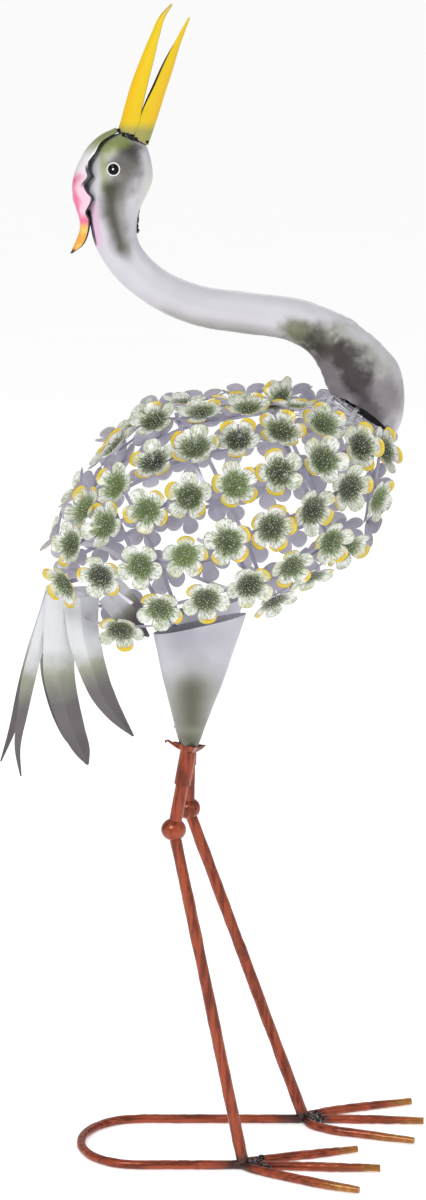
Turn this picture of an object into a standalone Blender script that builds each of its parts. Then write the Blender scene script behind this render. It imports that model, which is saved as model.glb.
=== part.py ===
# Metal heron garden statue, about one metre tall.
# A crane-like bird of sheet steel looks up with an open beak. Its body is an egg-shaped cage of
# strips covered with pressed flowers, and it stands on a bent rod with three toes to each foot.
# The bird looks along +X, the near side is -Y, and the feet rest on z = 0.

import math

import bmesh
import bpy
from mathutils import Vector

# Driving sizes in metres
TOTAL_HEIGHT = 1.000
GAP = 0.0003
SHEET = 0.0012
THIN_SHEET = 0.0010

ROD_RADIUS = 0.0041
ROD_BEVEL_STEPS = 2
ROD_SIDES = 8
LEG_RADIUS = 0.0043
RAIL_SPACING = 0.104
LOOP_REAR_X = -0.121

HIP_Y = 0.032
KNEE_Y = 0.036
BEAD_RADIUS = 0.0108
BEAD_HALF_HEIGHT = 0.0096
UPPER_TUBE_RADIUS = 0.0055
SLEEVE_RADIUS = 0.0073
SLEEVE_WALL = 0.0010
THIGH_BASE_Z = 0.378
THIGH_BASE_RADIUS = 0.0075
THIGH_TOP_HALF_X = 0.0385
THIGH_TOP_HALF_Y = 0.0150

BODY_CENTRE = Vector((-0.003, 0.0, 0.580))
BODY_TILT = math.radians(25.0)
BODY_FORWARD = Vector((math.cos(BODY_TILT), 0.0, math.sin(BODY_TILT)))
BODY_UPWARD = Vector((-math.sin(BODY_TILT), 0.0, math.cos(BODY_TILT)))
BODY_HALF_LENGTH = 0.158
BODY_HALF_DEPTH = 0.094
BODY_HALF_WIDTH = 0.0940
BACK_FLATNESS = 0.70

STRIP_WIDTH = 0.0050
STRIP_THICKNESS = 0.0016
CROSS_STRIP_DROP = 0.0030
FLOWER_RADIUS = 0.0188
ROW_LIFT = 0.0034
PETALS = 5

NECK_DEPTH_RATIO = 0.86
HEAD_DEPTH_RATIO = 0.72
NECK_SIDES_STEPS = 4

collection = bpy.data.collections.new("metal_heron")


def clear_scene():
    for item in list(bpy.data.objects):
        bpy.data.objects.remove(item, do_unlink=True)
    bpy.context.scene.collection.children.link(collection)


def paint(name, colour, roughness, metallic):
    material = bpy.data.materials.new(name)
    material.use_nodes = True
    shader = material.node_tree.nodes["Principled BSDF"]
    shader.inputs["Base Color"].default_value = (*colour, 1.0)
    shader.inputs["Roughness"].default_value = roughness
    shader.inputs["Metallic"].default_value = metallic
    return material


RUST_COLOUR = (0.36, 0.085, 0.040)
TOE_COLOUR = (0.45, 0.27, 0.10)
LILAC_COLOUR = (0.62, 0.60, 0.66)
BEAK_COLOUR = (0.80, 0.62, 0.02)
CREST_COLOUR = (0.82, 0.32, 0.45)
EYE_COLOUR = (0.03, 0.03, 0.03)
FLOWER_COLOUR = (0.55, 0.60, 0.38)
STRIP_COLOUR = (0.48, 0.47, 0.54)
TAIL_COLOUR = (0.36, 0.34, 0.34)


def add_object(name, data, colour, roughness=0.4, metallic=0.35):
    item = bpy.data.objects.new(name, data)
    data.materials.append(paint(name, colour, roughness, metallic))
    collection.objects.link(item)
    return item


def add_mesh(name, mesh_builder, colour, smooth=False, **finish):
    mesh = bpy.data.meshes.new(name)
    bmesh.ops.recalc_face_normals(mesh_builder, faces=mesh_builder.faces)
    mesh_builder.to_mesh(mesh)
    mesh_builder.free()
    for polygon in mesh.polygons:
        polygon.use_smooth = smooth
    return add_object(name, mesh, colour, **finish)


def add_sheet(name, mesh_builder, colour, thickness=SHEET, offset=0.0, smooth=True, **finish):
    item = add_mesh(name, mesh_builder, colour, smooth=smooth, **finish)
    solidify = item.modifiers.new("sheet", "SOLIDIFY")
    solidify.thickness = thickness
    solidify.offset = offset
    solidify.use_even_offset = True
    return item


def rod_curve(points, radius, scales=None, steps=ROD_BEVEL_STEPS):
    curve = bpy.data.curves.new("rod", "CURVE")
    curve.dimensions = "3D"
    curve.bevel_depth = radius
    curve.bevel_resolution = steps
    curve.use_fill_caps = True
    spline = curve.splines.new("POLY")
    spline.points.add(len(points) - 1)
    for index, point in enumerate(points):
        spline.points[index].co = (*point, 1.0)
        spline.points[index].tilt = math.pi / ROD_SIDES
        if scales:
            spline.points[index].radius = scales[index]
    return curve


def add_rod(name, points, radius, colour, scales=None):
    return add_object(name, rod_curve(points, radius, scales), colour, roughness=0.35)


def strip_loft(sections, closed=False):
    """Open or capped sheet or bar through rows of points of equal length."""
    mesh = bmesh.new()
    rows = [[mesh.verts.new(point) for point in section] for section in sections]
    for first, second in zip(rows, rows[1:]):
        count = len(first)
        for index in range(count if closed else count - 1):
            following = (index + 1) % count
            mesh.faces.new((first[index], first[following], second[following], second[index]))
    if closed:
        mesh.faces.new(rows[0])
        mesh.faces.new(rows[-1])
    return mesh


# Base: one bent rod whose ends run on as a toe of each foot, and four more toes

REST_Z = ROD_RADIUS * math.cos(math.pi / ROD_SIDES)
NEAR_HUB = Vector((0.020, -RAIL_SPACING / 2))
FAR_HUB = Vector((0.078, RAIL_SPACING / 2))
LOOP_STEPS = 12
TOE_TAPER = 0.62


def on_floor(x, y):
    return Vector((x, y, REST_Z))


def from_hub(hub, *steps):
    """Floor points given as steps forward and across from the foot where a leg is welded on."""
    return [on_floor(hub.x + forward, hub.y + across) for forward, across in steps]


def build_base():
    loop_radius = RAIL_SPACING / 2
    loop_centre_x = LOOP_REAR_X + loop_radius
    near_toe = from_hub(NEAR_HUB, (0.1015, -0.0500), (0.0760, -0.0415), (0.0370, -0.0230),
                        (0.0130, -0.0095))
    far_toe = from_hub(FAR_HUB, (0.0080, -0.0130), (0.0240, -0.0250), (0.0520, -0.0350),
                       (0.0990, -0.0505))
    near_rail = from_hub(NEAR_HUB, (0.0, 0.0))
    far_rail = from_hub(FAR_HUB, (0.0, 0.0))
    loop = []
    for step in range(LOOP_STEPS + 1):
        angle = -math.pi / 2 - math.pi * step / LOOP_STEPS
        loop.append(on_floor(loop_centre_x + loop_radius * math.cos(angle), loop_radius * math.sin(angle)))
    path = near_toe + near_rail + loop + far_rail + far_toe
    scales = [1.0] * len(path)
    scales[0] = scales[-1] = TOE_TAPER
    add_rod("base_loop", path, ROD_RADIUS, RUST_COLOUR, scales)
    toes = {
        "toe_near_middle": (NEAR_HUB, (0.0145, -0.0005), (0.0800, -0.0055), (0.1230, -0.0070)),
        "toe_near_inner": (NEAR_HUB, (0.0050, 0.0062), (0.0650, 0.0235), (0.1050, 0.0350)),
        "toe_far_middle": (FAR_HUB, (0.0085, 0.0000), (0.0620, -0.0015), (0.1106, -0.0050)),
        "toe_far_outer": (FAR_HUB, (0.0032, 0.0080), (0.0520, 0.0270), (0.1020, 0.0420)),
    }
    for name, (hub, *points) in toes.items():
        add_rod(name, from_hub(hub, *points), ROD_RADIUS, TOE_COLOUR, (1.0, 1.0, TOE_TAPER))


# Legs: a rod from foot to knee bead, a wider tube in a sleeve above it, a sheet funnel for the thigh

HIP = Vector((-0.0235, HIP_Y, THIGH_BASE_Z))
NEAR_SHIN_DROP = 0.0730
FAR_SHIN_DROP = 0.0750
KNEES = {
    "near": Vector((-0.0360, -KNEE_Y, THIGH_BASE_Z - NEAR_SHIN_DROP)),
    "far": Vector((-0.0235, KNEE_Y, THIGH_BASE_Z - FAR_SHIN_DROP)),
}
FEET = {"near": Vector((NEAR_HUB.x + 0.002, NEAR_HUB.y, 0.0)), "far": Vector((FAR_HUB.x, FAR_HUB.y, 0.0))}
BEAD_SEGMENTS = 12
BEAD_RINGS = 8
TUBE_STOPS_BELOW_HIP = 0.0015
SLEEVE_SHARE = 0.52
SLEEVE_SEGMENTS = 12
SLEEVE_FLARE_DROP = 0.0065
SLEEVE_POINT = (0.0165, 0.0020)
SLEEVE_VALLEY = (0.0098, -0.0042)
THIGH_SEGMENTS = 20
THIGH_RISE = 0.150
RIM_CENTRE = Vector((-0.0165, 0.0, 0.4850))
RIM_SLOPE = math.radians(12.4)


def build_leg(side):
    sign = -1 if side == "near" else 1
    knee = KNEES[side]
    hip = Vector((HIP.x, sign * HIP_Y, HIP.z))
    foot = FEET[side]
    lean = (foot - knee).normalized()
    start = knee + lean * (BEAD_HALF_HEIGHT + 2 * GAP)
    floor_top = 2 * REST_Z + GAP + LEG_RADIUS * math.hypot(lean.x, lean.y)
    end = knee + lean * ((knee.z - floor_top) / -lean.z)
    add_rod("leg_" + side, [start, end], LEG_RADIUS, RUST_COLOUR)

    ball = bmesh.new()
    bmesh.ops.create_uvsphere(ball, u_segments=BEAD_SEGMENTS, v_segments=BEAD_RINGS, radius=BEAD_RADIUS)
    bead = add_mesh("knee_bead_" + side, ball, RUST_COLOUR, smooth=True, roughness=0.35)
    bead.location = knee
    bead.scale = (1.0, 1.0, BEAD_HALF_HEIGHT / BEAD_RADIUS)

    rise = (hip - knee).normalized()
    tube_start = knee + rise * (BEAD_HALF_HEIGHT + 4 * GAP)
    tube_end = hip - rise * TUBE_STOPS_BELOW_HIP
    add_rod("upper_leg_" + side, [tube_start, tube_end], UPPER_TUBE_RADIUS, RUST_COLOUR)

    build_sleeve(side, hip, rise, (hip - knee).length * SLEEVE_SHARE)
    build_thigh(side, hip)


def build_sleeve(side, hip, rise, length):
    """Folded collar round the upper tube, its top cut into four points that flare outwards."""
    mesh = bmesh.new()
    bmesh.ops.create_cone(mesh, cap_ends=False, segments=SLEEVE_SEGMENTS, radius1=SLEEVE_RADIUS,
                          radius2=SLEEVE_RADIUS, depth=length - SLEEVE_FLARE_DROP)
    bmesh.ops.translate(mesh, verts=mesh.verts, vec=(0.0, 0.0, -(length + SLEEVE_FLARE_DROP) / 2))
    top_edges = [edge for edge in mesh.edges if all(v.co.z > -length / 2 for v in edge.verts)]
    flared = bmesh.ops.extrude_edge_only(mesh, edges=top_edges)["geom"]
    for vertex in [item for item in flared if isinstance(item, bmesh.types.BMVert)]:
        bearing = math.atan2(vertex.co.y, vertex.co.x)
        number = round(bearing / (2 * math.pi / SLEEVE_SEGMENTS))
        reach, height = SLEEVE_POINT if number % 3 == 0 else SLEEVE_VALLEY
        vertex.co = (reach * math.cos(bearing), reach * math.sin(bearing), height)
    sleeve = add_sheet("sleeve_" + side, mesh, RUST_COLOUR, thickness=SLEEVE_WALL, offset=-1.0)
    sleeve.location = hip
    sleeve.rotation_euler = rise.to_track_quat("Z", "Y").to_euler()


def build_thigh(side, hip):
    """Open sheet funnel, round at the sleeve and a wide flat oval at its sloping top rim."""
    mesh = bmesh.new()
    widening = (THIGH_TOP_HALF_X - THIGH_BASE_RADIUS) / (RIM_CENTRE.z - hip.z)
    bmesh.ops.create_cone(mesh, cap_ends=False, segments=THIGH_SEGMENTS, depth=THIGH_RISE,
                          radius1=THIGH_BASE_RADIUS, radius2=THIGH_BASE_RADIUS + widening * THIGH_RISE)
    lean = (RIM_CENTRE.x - hip.x) / (RIM_CENTRE.z - hip.z)
    flatness = THIGH_TOP_HALF_Y / THIGH_TOP_HALF_X
    for vertex in mesh.verts:
        height = vertex.co.z + THIGH_RISE / 2
        share = min(height / (RIM_CENTRE.z - hip.z), 1.0)
        vertex.co.y *= 1.0 + (flatness - 1.0) * share
        vertex.co += Vector((hip.x + lean * height, hip.y, hip.z + THIGH_RISE / 2))
    up = Vector((-math.sin(RIM_SLOPE), 0.0, math.cos(RIM_SLOPE)))
    everything = list(mesh.verts) + list(mesh.edges) + list(mesh.faces)
    bmesh.ops.bisect_plane(mesh, geom=everything, plane_co=RIM_CENTRE, plane_no=up, clear_outer=True)
    add_sheet("thigh_" + side, mesh, LILAC_COLOUR, thickness=SHEET, offset=-1.0)


# Body: pressed flowers on strips that run from tail to breast over an egg shape

def egg_point(along, around):
    """Point on the egg: along runs -1 at the tail to 1 at the breast, around is 0 on the back."""
    girth = math.sqrt(max(0.0, 1.0 - along * along))
    upness = max(math.cos(around), 0.0)
    if along < 0.0:
        back = (1.0 - abs(along) ** 1.6) ** 0.8
    else:
        back = (1.0 - BACK_FLATNESS * along) * math.sqrt(max(0.0, 1.0 - along ** 6))
        upness = upness ** 1.5
    depth = BODY_HALF_DEPTH * (back * upness + girth * (1.0 - upness)) * math.cos(around)
    sideways = Vector((0.0, -BODY_HALF_WIDTH * girth * math.sin(around), 0.0))
    return BODY_CENTRE + BODY_FORWARD * BODY_HALF_LENGTH * along + BODY_UPWARD * depth + sideways


PROBE = 0.01


def egg_frame(along, around, heading):
    """Place on the egg with its outward normal, the heading and the direction across it."""
    place = egg_point(along, around)
    east = egg_point(along + PROBE, around) - egg_point(along - PROBE, around)
    south = egg_point(along, around + PROBE) - egg_point(along, around - PROBE)
    normal = east.cross(south).normalized()
    if normal.dot(place - BODY_CENTRE) < 0.0:
        normal.negate()
    forward = (heading - normal * heading.dot(normal)).normalized()
    return place, normal, forward, normal.cross(forward)


PETAL_OUTLINE = ((-26.0, 0.935, 0.0066), (0.0, 1.0, 0.0082), (26.0, 0.935, 0.0066), (36.0, 0.53, 0.0040))
PETAL_TURN = 2 * math.pi / PETALS
HALF_PETAL_TURN = PETAL_TURN / 2
OUTWARD = Vector((0.0, -1.0, 0.0))
FLOWER_SEAT = 0.0028
FLOWER_RISE = 0.0017


ROW_STEPS = 120
BEND_STEPS = 20

def row_path(row):
    path = []
    if "through" in row:
        for (along, around), (next_along, next_around) in zip(row["through"], row["through"][1:]):
            for step in range(BEND_STEPS):
                share = step / (BEND_STEPS)
                place = (along + (next_along - along) * share,
                         math.radians(around + (next_around - around) * share))
                path.append((*place, egg_point(*place)))
        place = (row["through"][-1][0], math.radians(row["through"][-1][1]))
        path.append((*place, egg_point(*place)))
        return path
    start, end = row["shares"]
    for step in range(ROW_STEPS + 1):
        along = start + (end - start) * step / ROW_STEPS
        around = math.radians(row["around"] + row["twist"] * along)
        path.append((along, around, egg_point(along, around)))
    return path


def flower_places(row):
    """The row's path and the places on it where flowers sit, equally far apart or at its bends."""
    path = row_path(row)
    if "through" in row:
        return path, [bend * (BEND_STEPS) for bend in range(1, len(row["through"]) - 1)]
    lengths = [0.0]
    for before, after in zip(path, path[1:]):
        lengths.append(lengths[-1] + (after[2] - before[2]).length)
    count = row["flowers"]
    if count == 1:
        start, end = row["shares"]
        marks = [lengths[round(ROW_STEPS * (LONE_FLOWER_AT - start) / (end - start))]]
    else:
        marks = [lengths[-1] * index / (count - 1) for index in range(count)]
    places = []
    for mark in marks:
        nearest = min(range(len(lengths)), key=lambda index: abs(lengths[index] - mark))
        places.append(nearest)
    return path, places


def add_flower(mesh, seat, centre, normal, forward, side, turn):
    """Cupped five-petal flower whose back closes on the four corners of its seat."""
    rim = []
    for petal in range(PETALS):
        for degrees, reach, height in PETAL_OUTLINE:
            angle = turn + math.radians(degrees) + petal * PETAL_TURN
            spoke = forward * math.cos(angle) + side * math.sin(angle)
            rim.append((angle, mesh.verts.new(centre + spoke * FLOWER_RADIUS * reach + normal * height)))
    heart = mesh.verts.new(centre + normal * FLOWER_RISE)
    count = len(rim)
    corner_of = []
    for angle, vertex in rim:
        spread = vertex.co - centre
        bearing = math.atan2(spread.dot(side), spread.dot(forward)) % (2 * math.pi)
        corner_of.append(int(bearing // (math.pi / 2)) % 4)
    for index in range(count):
        following = (index + 1) % count
        first, second = rim[index][1], rim[following][1]
        mesh.faces.new((heart, first, second))
        here, there = seat[corner_of[index]], seat[corner_of[following]]
        mesh.faces.new((here, second, first))
        if here is not there:
            mesh.faces.new((here, there, second))


def add_flower_row(name, row, mirror):
    """One strip, a rectangular bar, with its flowers growing out of its outer face."""
    path, places = flower_places(row)
    mesh = bmesh.new()
    sign = -1.0 if mirror else 1.0
    half = STRIP_WIDTH / 2
    sections = []
    seats = []

    def place_on(index):
        along, around, point = path[index]
        ahead = path[min(index + 1, len(path) - 1)][2] - path[max(index - 1, 0)][2]
        centre, normal, forward, side = egg_frame(along, around, ahead)
        if row["lifted"]:
            centre = centre + normal * ROW_LIFT
        flip = Vector((1.0, sign, 1.0))
        return [Vector(v * flip) for v in (centre, normal, forward, side)]

    def section(centre, normal, side):
        inner = centre - normal * STRIP_THICKNESS
        return [mesh.verts.new(centre + side * half), mesh.verts.new(centre - side * half),
                mesh.verts.new(inner - side * half), mesh.verts.new(inner + side * half)]

    if places[0] > 0:
        centre, normal, forward, side = place_on(0)
        sections.append(section(centre, normal, side))
        seats.append(False)
    for number, index in enumerate(places):
        centre, normal, forward, side = place_on(index)
        before = section(centre - forward * FLOWER_SEAT, normal, side)
        after = section(centre + forward * FLOWER_SEAT, normal, side)
        sections += [before, after]
        seats += [True, False]
        corners = (after[0], before[0], before[1], after[1])
        leaning = (normal + OUTWARD * sign * row.get("lean", 0.0)).normalized()
        heading = (forward - leaning * forward.dot(leaning)).normalized()
        across = leaning.cross(heading) * sign
        add_flower(mesh, corners, centre, leaning, heading, across, number * HALF_PETAL_TURN)
    if places[-1] < len(path) - 1:
        centre, normal, forward, side = place_on(len(path) - 1)
        sections.append(section(centre, normal, side))
        seats.append(False)
    for number in range(len(sections) - 1):
        first, second = sections[number], sections[number + 1]
        for edge in range(4):
            following = (edge + 1) % 4
            if edge == 0 and seats[number]:
                continue
            mesh.faces.new((first[edge], first[following], second[following], second[edge]))
    mesh.faces.new(sections[0])
    mesh.faces.new(sections[-1])
    return add_mesh(name, mesh, FLOWER_COLOUR)


FLOWER_ROWS = {
    "back": {"around": 0.0, "twist": 0.0, "shares": (-0.82, 0.57), "flowers": 7, "lifted": False},
    "upper": {"around": 23.0, "twist": 13.0, "shares": (-0.30, 0.61), "flowers": 5, "lifted": True},
    "shoulder": {"around": 48.0, "twist": 11.0, "shares": (-0.58, 0.72), "flowers": 7,
                 "lifted": False},
    "side": {"around": 72.5, "twist": 16.0, "shares": (-0.70, 0.83), "flowers": 8, "lifted": True},
    "flank": {"around": 99.0, "twist": 13.0, "shares": (-0.84, 0.71), "flowers": 8, "lifted": False},
    "belly": {"around": 125.5, "twist": 10.0, "shares": (-0.43, 0.50), "flowers": 5, "lifted": True,
              "lean": 0.35},
    "rim_front": {"around": 154.0, "twist": 0.0, "shares": (0.10, 0.56), "flowers": 3, "lifted": False},
    "rim_rear": {"around": 143.0, "twist": 0.0, "shares": (-0.868, -0.43), "flowers": 1, "lifted": False,
                 "lean": 0.60},
    "breast": {"lifted": False, "through": (
        (0.83, 90.0), (0.945, 112.0), (0.81, 143.0), (0.71, 180.0), (0.81, 217.0), (0.945, 248.0),
        (0.83, 270.0))},
}
LONE_FLOWER_AT = -0.70
CROSS_STRIPS = {"rear": -0.45, "middle": 0.05, "front": 0.52}
CROSS_START = 6.0
CROSS_END = 156.0
CROSS_STEPS = 9


def build_body():
    for name, row in FLOWER_ROWS.items():
        if name in ("back", "breast"):
            add_flower_row("flower_row_" + name, row, False)
            continue
        add_flower_row("flower_row_%s_near" % name, row, False)
        add_flower_row("flower_row_%s_far" % name, row, True)
    for name, along in CROSS_STRIPS.items():
        for side_name, sign in (("near", 1.0), ("far", -1.0)):
            add_cross_strip("cross_strip_%s_%s" % (name, side_name), along, sign)


def add_cross_strip(name, along, sign):
    sections = []
    for step in range(CROSS_STEPS + 1):
        around = math.radians(CROSS_START + (CROSS_END - CROSS_START) * step / CROSS_STEPS)
        heading = egg_point(along, around + PROBE) - egg_point(along, around - PROBE)
        centre, normal, forward, side = egg_frame(along, around, heading)
        outer = centre - normal * CROSS_STRIP_DROP
        inner = outer - normal * STRIP_THICKNESS
        across = side * STRIP_WIDTH / 2
        corners = (outer + across, outer - across, inner - across, inner + across)
        sections.append([Vector((v.x, sign * v.y, v.z)) for v in corners])
    add_mesh(name, strip_loft(sections, closed=True), STRIP_COLOUR)


# Neck and head: one sheet tube that narrows up the S of the neck and swells at breast and head

NECK_PATH = (
    (-0.0705, 0.8890, 0.0130),
    (-0.0765, 0.8800, 0.0215),
    (-0.0805, 0.8660, 0.0275),
    (-0.0830, 0.8480, 0.0265),
    (-0.0855, 0.8280, 0.0210),
    (-0.0835, 0.8050, 0.0178),
    (-0.0740, 0.7880, 0.0163),
    (-0.0520, 0.7680, 0.0158),
    (-0.0200, 0.7530, 0.0166),
    (0.0230, 0.7455, 0.0173),
    (0.0620, 0.7400, 0.0178),
    (0.0890, 0.7290, 0.0205),
    (0.1090, 0.7110, 0.0265),
    (0.1255, 0.6880, 0.0325),
    (0.1265, 0.6620, 0.0290),
    (0.1220, 0.6380, 0.0240),
)
MOUTH_POINT = Vector((0.1290, 0.0, 0.6555))
MOUTH_NORMAL = Vector((-0.56, 0.0, -0.83))
BREAST_START_X = 0.080


def build_neck():
    curve = bpy.data.curves.new("neck", "CURVE")
    curve.dimensions = "3D"
    curve.bevel_depth = 1.0
    curve.bevel_resolution = NECK_SIDES_STEPS
    curve.use_fill_caps = True
    curve.resolution_u = 2
    spline = curve.splines.new("BEZIER")
    spline.bezier_points.add(len(NECK_PATH) - 1)
    for index, (x, z, radius) in enumerate(NECK_PATH):
        knot = spline.bezier_points[index]
        knot.co = (x, 0.0, z)
        knot.handle_left_type = knot.handle_right_type = "AUTO"
        knot.radius = radius
    guide = bpy.data.objects.new("neck_guide", curve)
    collection.objects.link(guide)
    bpy.context.view_layer.update()
    evaluated = guide.evaluated_get(bpy.context.evaluated_depsgraph_get())
    mesh = bmesh.new()
    mesh.from_mesh(bpy.data.meshes.new_from_object(evaluated))
    bpy.data.objects.remove(guide, do_unlink=True)
    bmesh.ops.remove_doubles(mesh, verts=mesh.verts, dist=0.00005)
    head_z = NECK_PATH[2][1]
    nape_z = NECK_PATH[6][1]
    for vertex in mesh.verts:
        share = min(max((vertex.co.z - nape_z) / (head_z - nape_z), 0.0), 1.0)
        vertex.co.y *= NECK_DEPTH_RATIO + (HEAD_DEPTH_RATIO - NECK_DEPTH_RATIO) * share
    breast = [vertex for vertex in mesh.verts if vertex.co.x > BREAST_START_X]
    chosen = set(breast)
    edges = [edge for edge in mesh.edges if chosen.issuperset(edge.verts)]
    faces = [face for face in mesh.faces if chosen.issuperset(face.verts)]
    bmesh.ops.bisect_plane(mesh, geom=breast + edges + faces, plane_co=MOUTH_POINT,
                           plane_no=MOUTH_NORMAL, clear_outer=True)
    add_sheet("neck_and_head", mesh, LILAC_COLOUR, thickness=SHEET, offset=-1.0)


# Head fittings: folded crest plate, two folded beak sheets and a raised eye on each side

CREST_PROFILE = (
    (-0.0855, 0.9005, -0.0835, 0.8975, 0.0060),
    (-0.1000, 0.8930, -0.0985, 0.8885, 0.0095),
    (-0.1095, 0.8820, -0.1030, 0.8785, 0.0125),
    (-0.1155, 0.8710, -0.1060, 0.8700, 0.0140),
    (-0.1195, 0.8600, -0.1030, 0.8620, 0.0170),
    (-0.1210, 0.8500, -0.1075, 0.8515, 0.0150),
    (-0.1200, 0.8400, -0.1025, 0.8425, 0.0155),
    (-0.1165, 0.8310, -0.1085, 0.8315, 0.0105),
    (-0.1140, 0.8220, -0.1070, 0.8230, 0.0070),
    (-0.1140, 0.8150, -0.1070, 0.8140, 0.0050),
    (-0.1170, 0.8060, -0.1100, 0.8040, 0.0035),
    (-0.1220, 0.7950, -0.1200, 0.7955, 0.0008),
)
UPPER_BEAK_PROFILE = (
    (-0.0815, 0.8980, -0.0690, 0.8960, 0.0085),
    (-0.0790, 0.9050, -0.0655, 0.9030, 0.0080),
    (-0.0755, 0.9170, -0.0628, 0.9150, 0.0072),
    (-0.0700, 0.9350, -0.0575, 0.9330, 0.0060),
    (-0.0620, 0.9550, -0.0520, 0.9530, 0.0045),
    (-0.0540, 0.9740, -0.0472, 0.9725, 0.0030),
    (-0.0460, 0.9900, -0.0425, 0.9885, 0.0018),
    (-0.0375, TOTAL_HEIGHT - 0.0006, -0.0362, 0.9987, 0.0006),
)
LOWER_BEAK_PROFILE = (
    (-0.0570, 0.8850, -0.0670, 0.8905, 0.0085),
    (-0.0530, 0.8960, -0.0635, 0.9010, 0.0080),
    (-0.0490, 0.9080, -0.0590, 0.9140, 0.0070),
    (-0.0430, 0.9270, -0.0505, 0.9325, 0.0055),
    (-0.0368, 0.9460, -0.0425, 0.9515, 0.0040),
    (-0.0305, 0.9660, -0.0338, 0.9695, 0.0024),
    (-0.0222, 0.9880, -0.0232, 0.9885, 0.0006),
)
EYE_PLACE = Vector((-0.0850, 0.0200, 0.8660))
EYE_RADIUS = 0.0062
EYE_TOP_RADIUS = 0.0037
EYE_HEIGHT = 0.0022
EYE_TURN = math.radians(6.0)


FOLD_SECTION = ((1.0, -1.0), (0.55, -0.82), (0.0, 0.0), (0.55, 0.82), (1.0, 1.0))


def folded_sheet(profile):
    """Sheet folded along the outer edge in the bird's middle plane, its two free edges spread."""
    sections = []
    for outer_x, outer_z, inner_x, inner_z, spread in profile:
        section = []
        for reach, width in FOLD_SECTION:
            x = outer_x + (inner_x - outer_x) * reach
            z = outer_z + (inner_z - outer_z) * reach
            section.append(Vector((x, spread * width, z)))
        sections.append(section)
    return strip_loft(sections)


def build_head_fittings():
    add_sheet("crest", folded_sheet(CREST_PROFILE), CREST_COLOUR, thickness=THIN_SHEET)
    add_sheet("beak_upper", folded_sheet(UPPER_BEAK_PROFILE), BEAK_COLOUR, thickness=THIN_SHEET)
    add_sheet("beak_lower", folded_sheet(LOWER_BEAK_PROFILE), BEAK_COLOUR, thickness=THIN_SHEET)
    for side, sign in (("near", -1.0), ("far", 1.0)):
        mesh = bmesh.new()
        bmesh.ops.create_cone(mesh, cap_ends=True, segments=12, depth=EYE_HEIGHT,
                              radius1=EYE_RADIUS, radius2=EYE_TOP_RADIUS)
        eye = add_mesh("eye_" + side, mesh, EYE_COLOUR, roughness=0.15, metallic=0.0)
        eye.rotation_euler = (-sign * math.pi / 2, 0.0, sign * EYE_TURN)
        outward = EYE_HEIGHT / 2 + GAP
        eye.location = (EYE_PLACE.x - outward * math.sin(EYE_TURN), sign * (EYE_PLACE.y + outward),
                        EYE_PLACE.z)


# Tail: creased sheet feathers in pairs, layered outwards from the middle plane

FEATHERS = {
    "inner": {"hangs_at": -1.0, "y": (0.0120, 0.0130), "spine": (
        (0.0122, -0.0082, 0.0110), (0.0022, -0.0292, 0.0085), (-0.0073, -0.0532, 0.0060),
        (-0.0153, -0.0822, 0.0058), (-0.0203, -0.1092, 0.0045), (-0.0253, -0.1432, 0.0024),
        (-0.0228, -0.1672, 0.0006))},
    "second": {"hangs_at": -1.0, "y": (0.0148, 0.0230), "spine": (
        (0.0172, -0.0082, 0.0165), (0.0118, -0.0512, 0.0135), (0.0118, -0.0772, 0.0132),
        (0.0168, -0.1022, 0.0120), (0.0240, -0.1252, 0.0098), (0.0318, -0.1440, 0.0060),
        (0.0355, -0.1540, 0.0010))},
    "third": {"hangs_at": -0.85, "y": (0.0196, 0.0340), "spine": (
        (0.0087, -0.0172, 0.0150), (0.0125, -0.0552, 0.0130), (0.0190, -0.0782, 0.0118),
        (0.0280, -0.1012, 0.0098), (0.0392, -0.1185, 0.0066), (0.0537, -0.1358, 0.0008))},
    "outer": {"hangs_at": -0.70, "y": (0.0216, 0.0400), "spine": (
        (0.0102, -0.0242, 0.0100), (0.0242, -0.0387, 0.0098), (0.0352, -0.0487, 0.0070),
        (0.0462, -0.0572, 0.0010))},
}
FAR_INNER_SPINE = (
    (0.0102, -0.0082, 0.0110), (-0.0018, -0.0342, 0.0070), (-0.0128, -0.0632, 0.0055),
    (-0.0228, -0.0982, 0.0045), (-0.0318, -0.1332, 0.0030), (-0.0420, -0.1612, 0.0006))
FEATHER_CREASE = 0.22
FAR_SWING = math.radians(4.5)


def swung(spine):
    """The spine turned about its root, so that its tip swings back towards the tail."""
    root_x, root_z = spine[0][:2]
    turned = []
    for x, z, half in spine:
        ahead, below = x - root_x, z - root_z
        turned.append((root_x + ahead * math.cos(FAR_SWING) + below * math.sin(FAR_SWING),
                       root_z - ahead * math.sin(FAR_SWING) + below * math.cos(FAR_SWING), half))
    return turned


def feather_sheet(hangs_at, spine, y_root, y_tip, sign):
    """Feather whose spine is given as steps from the body's long axis at the share it hangs from."""
    root = BODY_CENTRE + BODY_FORWARD * BODY_HALF_LENGTH * hangs_at
    sections = []
    count = len(spine)
    for index, (x, z, half) in enumerate(spine):
        before = spine[max(index - 1, 0)]
        after = spine[min(index + 1, count - 1)]
        run = Vector((after[0] - before[0], 0.0, after[1] - before[1])).normalized()
        across = Vector((run.z, 0.0, -run.x))
        y = y_root + (y_tip - y_root) * index / (count - 1)
        middle = root + Vector((x, sign * y, z))
        crest = Vector((0.0, sign * half * FEATHER_CREASE, 0.0))
        sections.append([middle + across * half, middle + crest, middle - across * half])
    return strip_loft(sections)


def build_tail():
    for name, feather in FEATHERS.items():
        y_root, y_tip = feather["y"]
        for side, sign in (("near", -1.0), ("far", 1.0)):
            spine = feather["spine"]
            if side == "far":
                spine = FAR_INNER_SPINE if name == "inner" else swung(spine)
            sheet = feather_sheet(feather["hangs_at"], spine, y_root, y_tip, sign)
            add_sheet("tail_feather_%s_%s" % (name, side), sheet, TAIL_COLOUR, thickness=THIN_SHEET)


clear_scene()
build_base()
for leg_side in ("near", "far"):
    build_leg(leg_side)
build_body()
build_neck()
build_head_fittings()
build_tail()
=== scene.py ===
import math
import random

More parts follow.
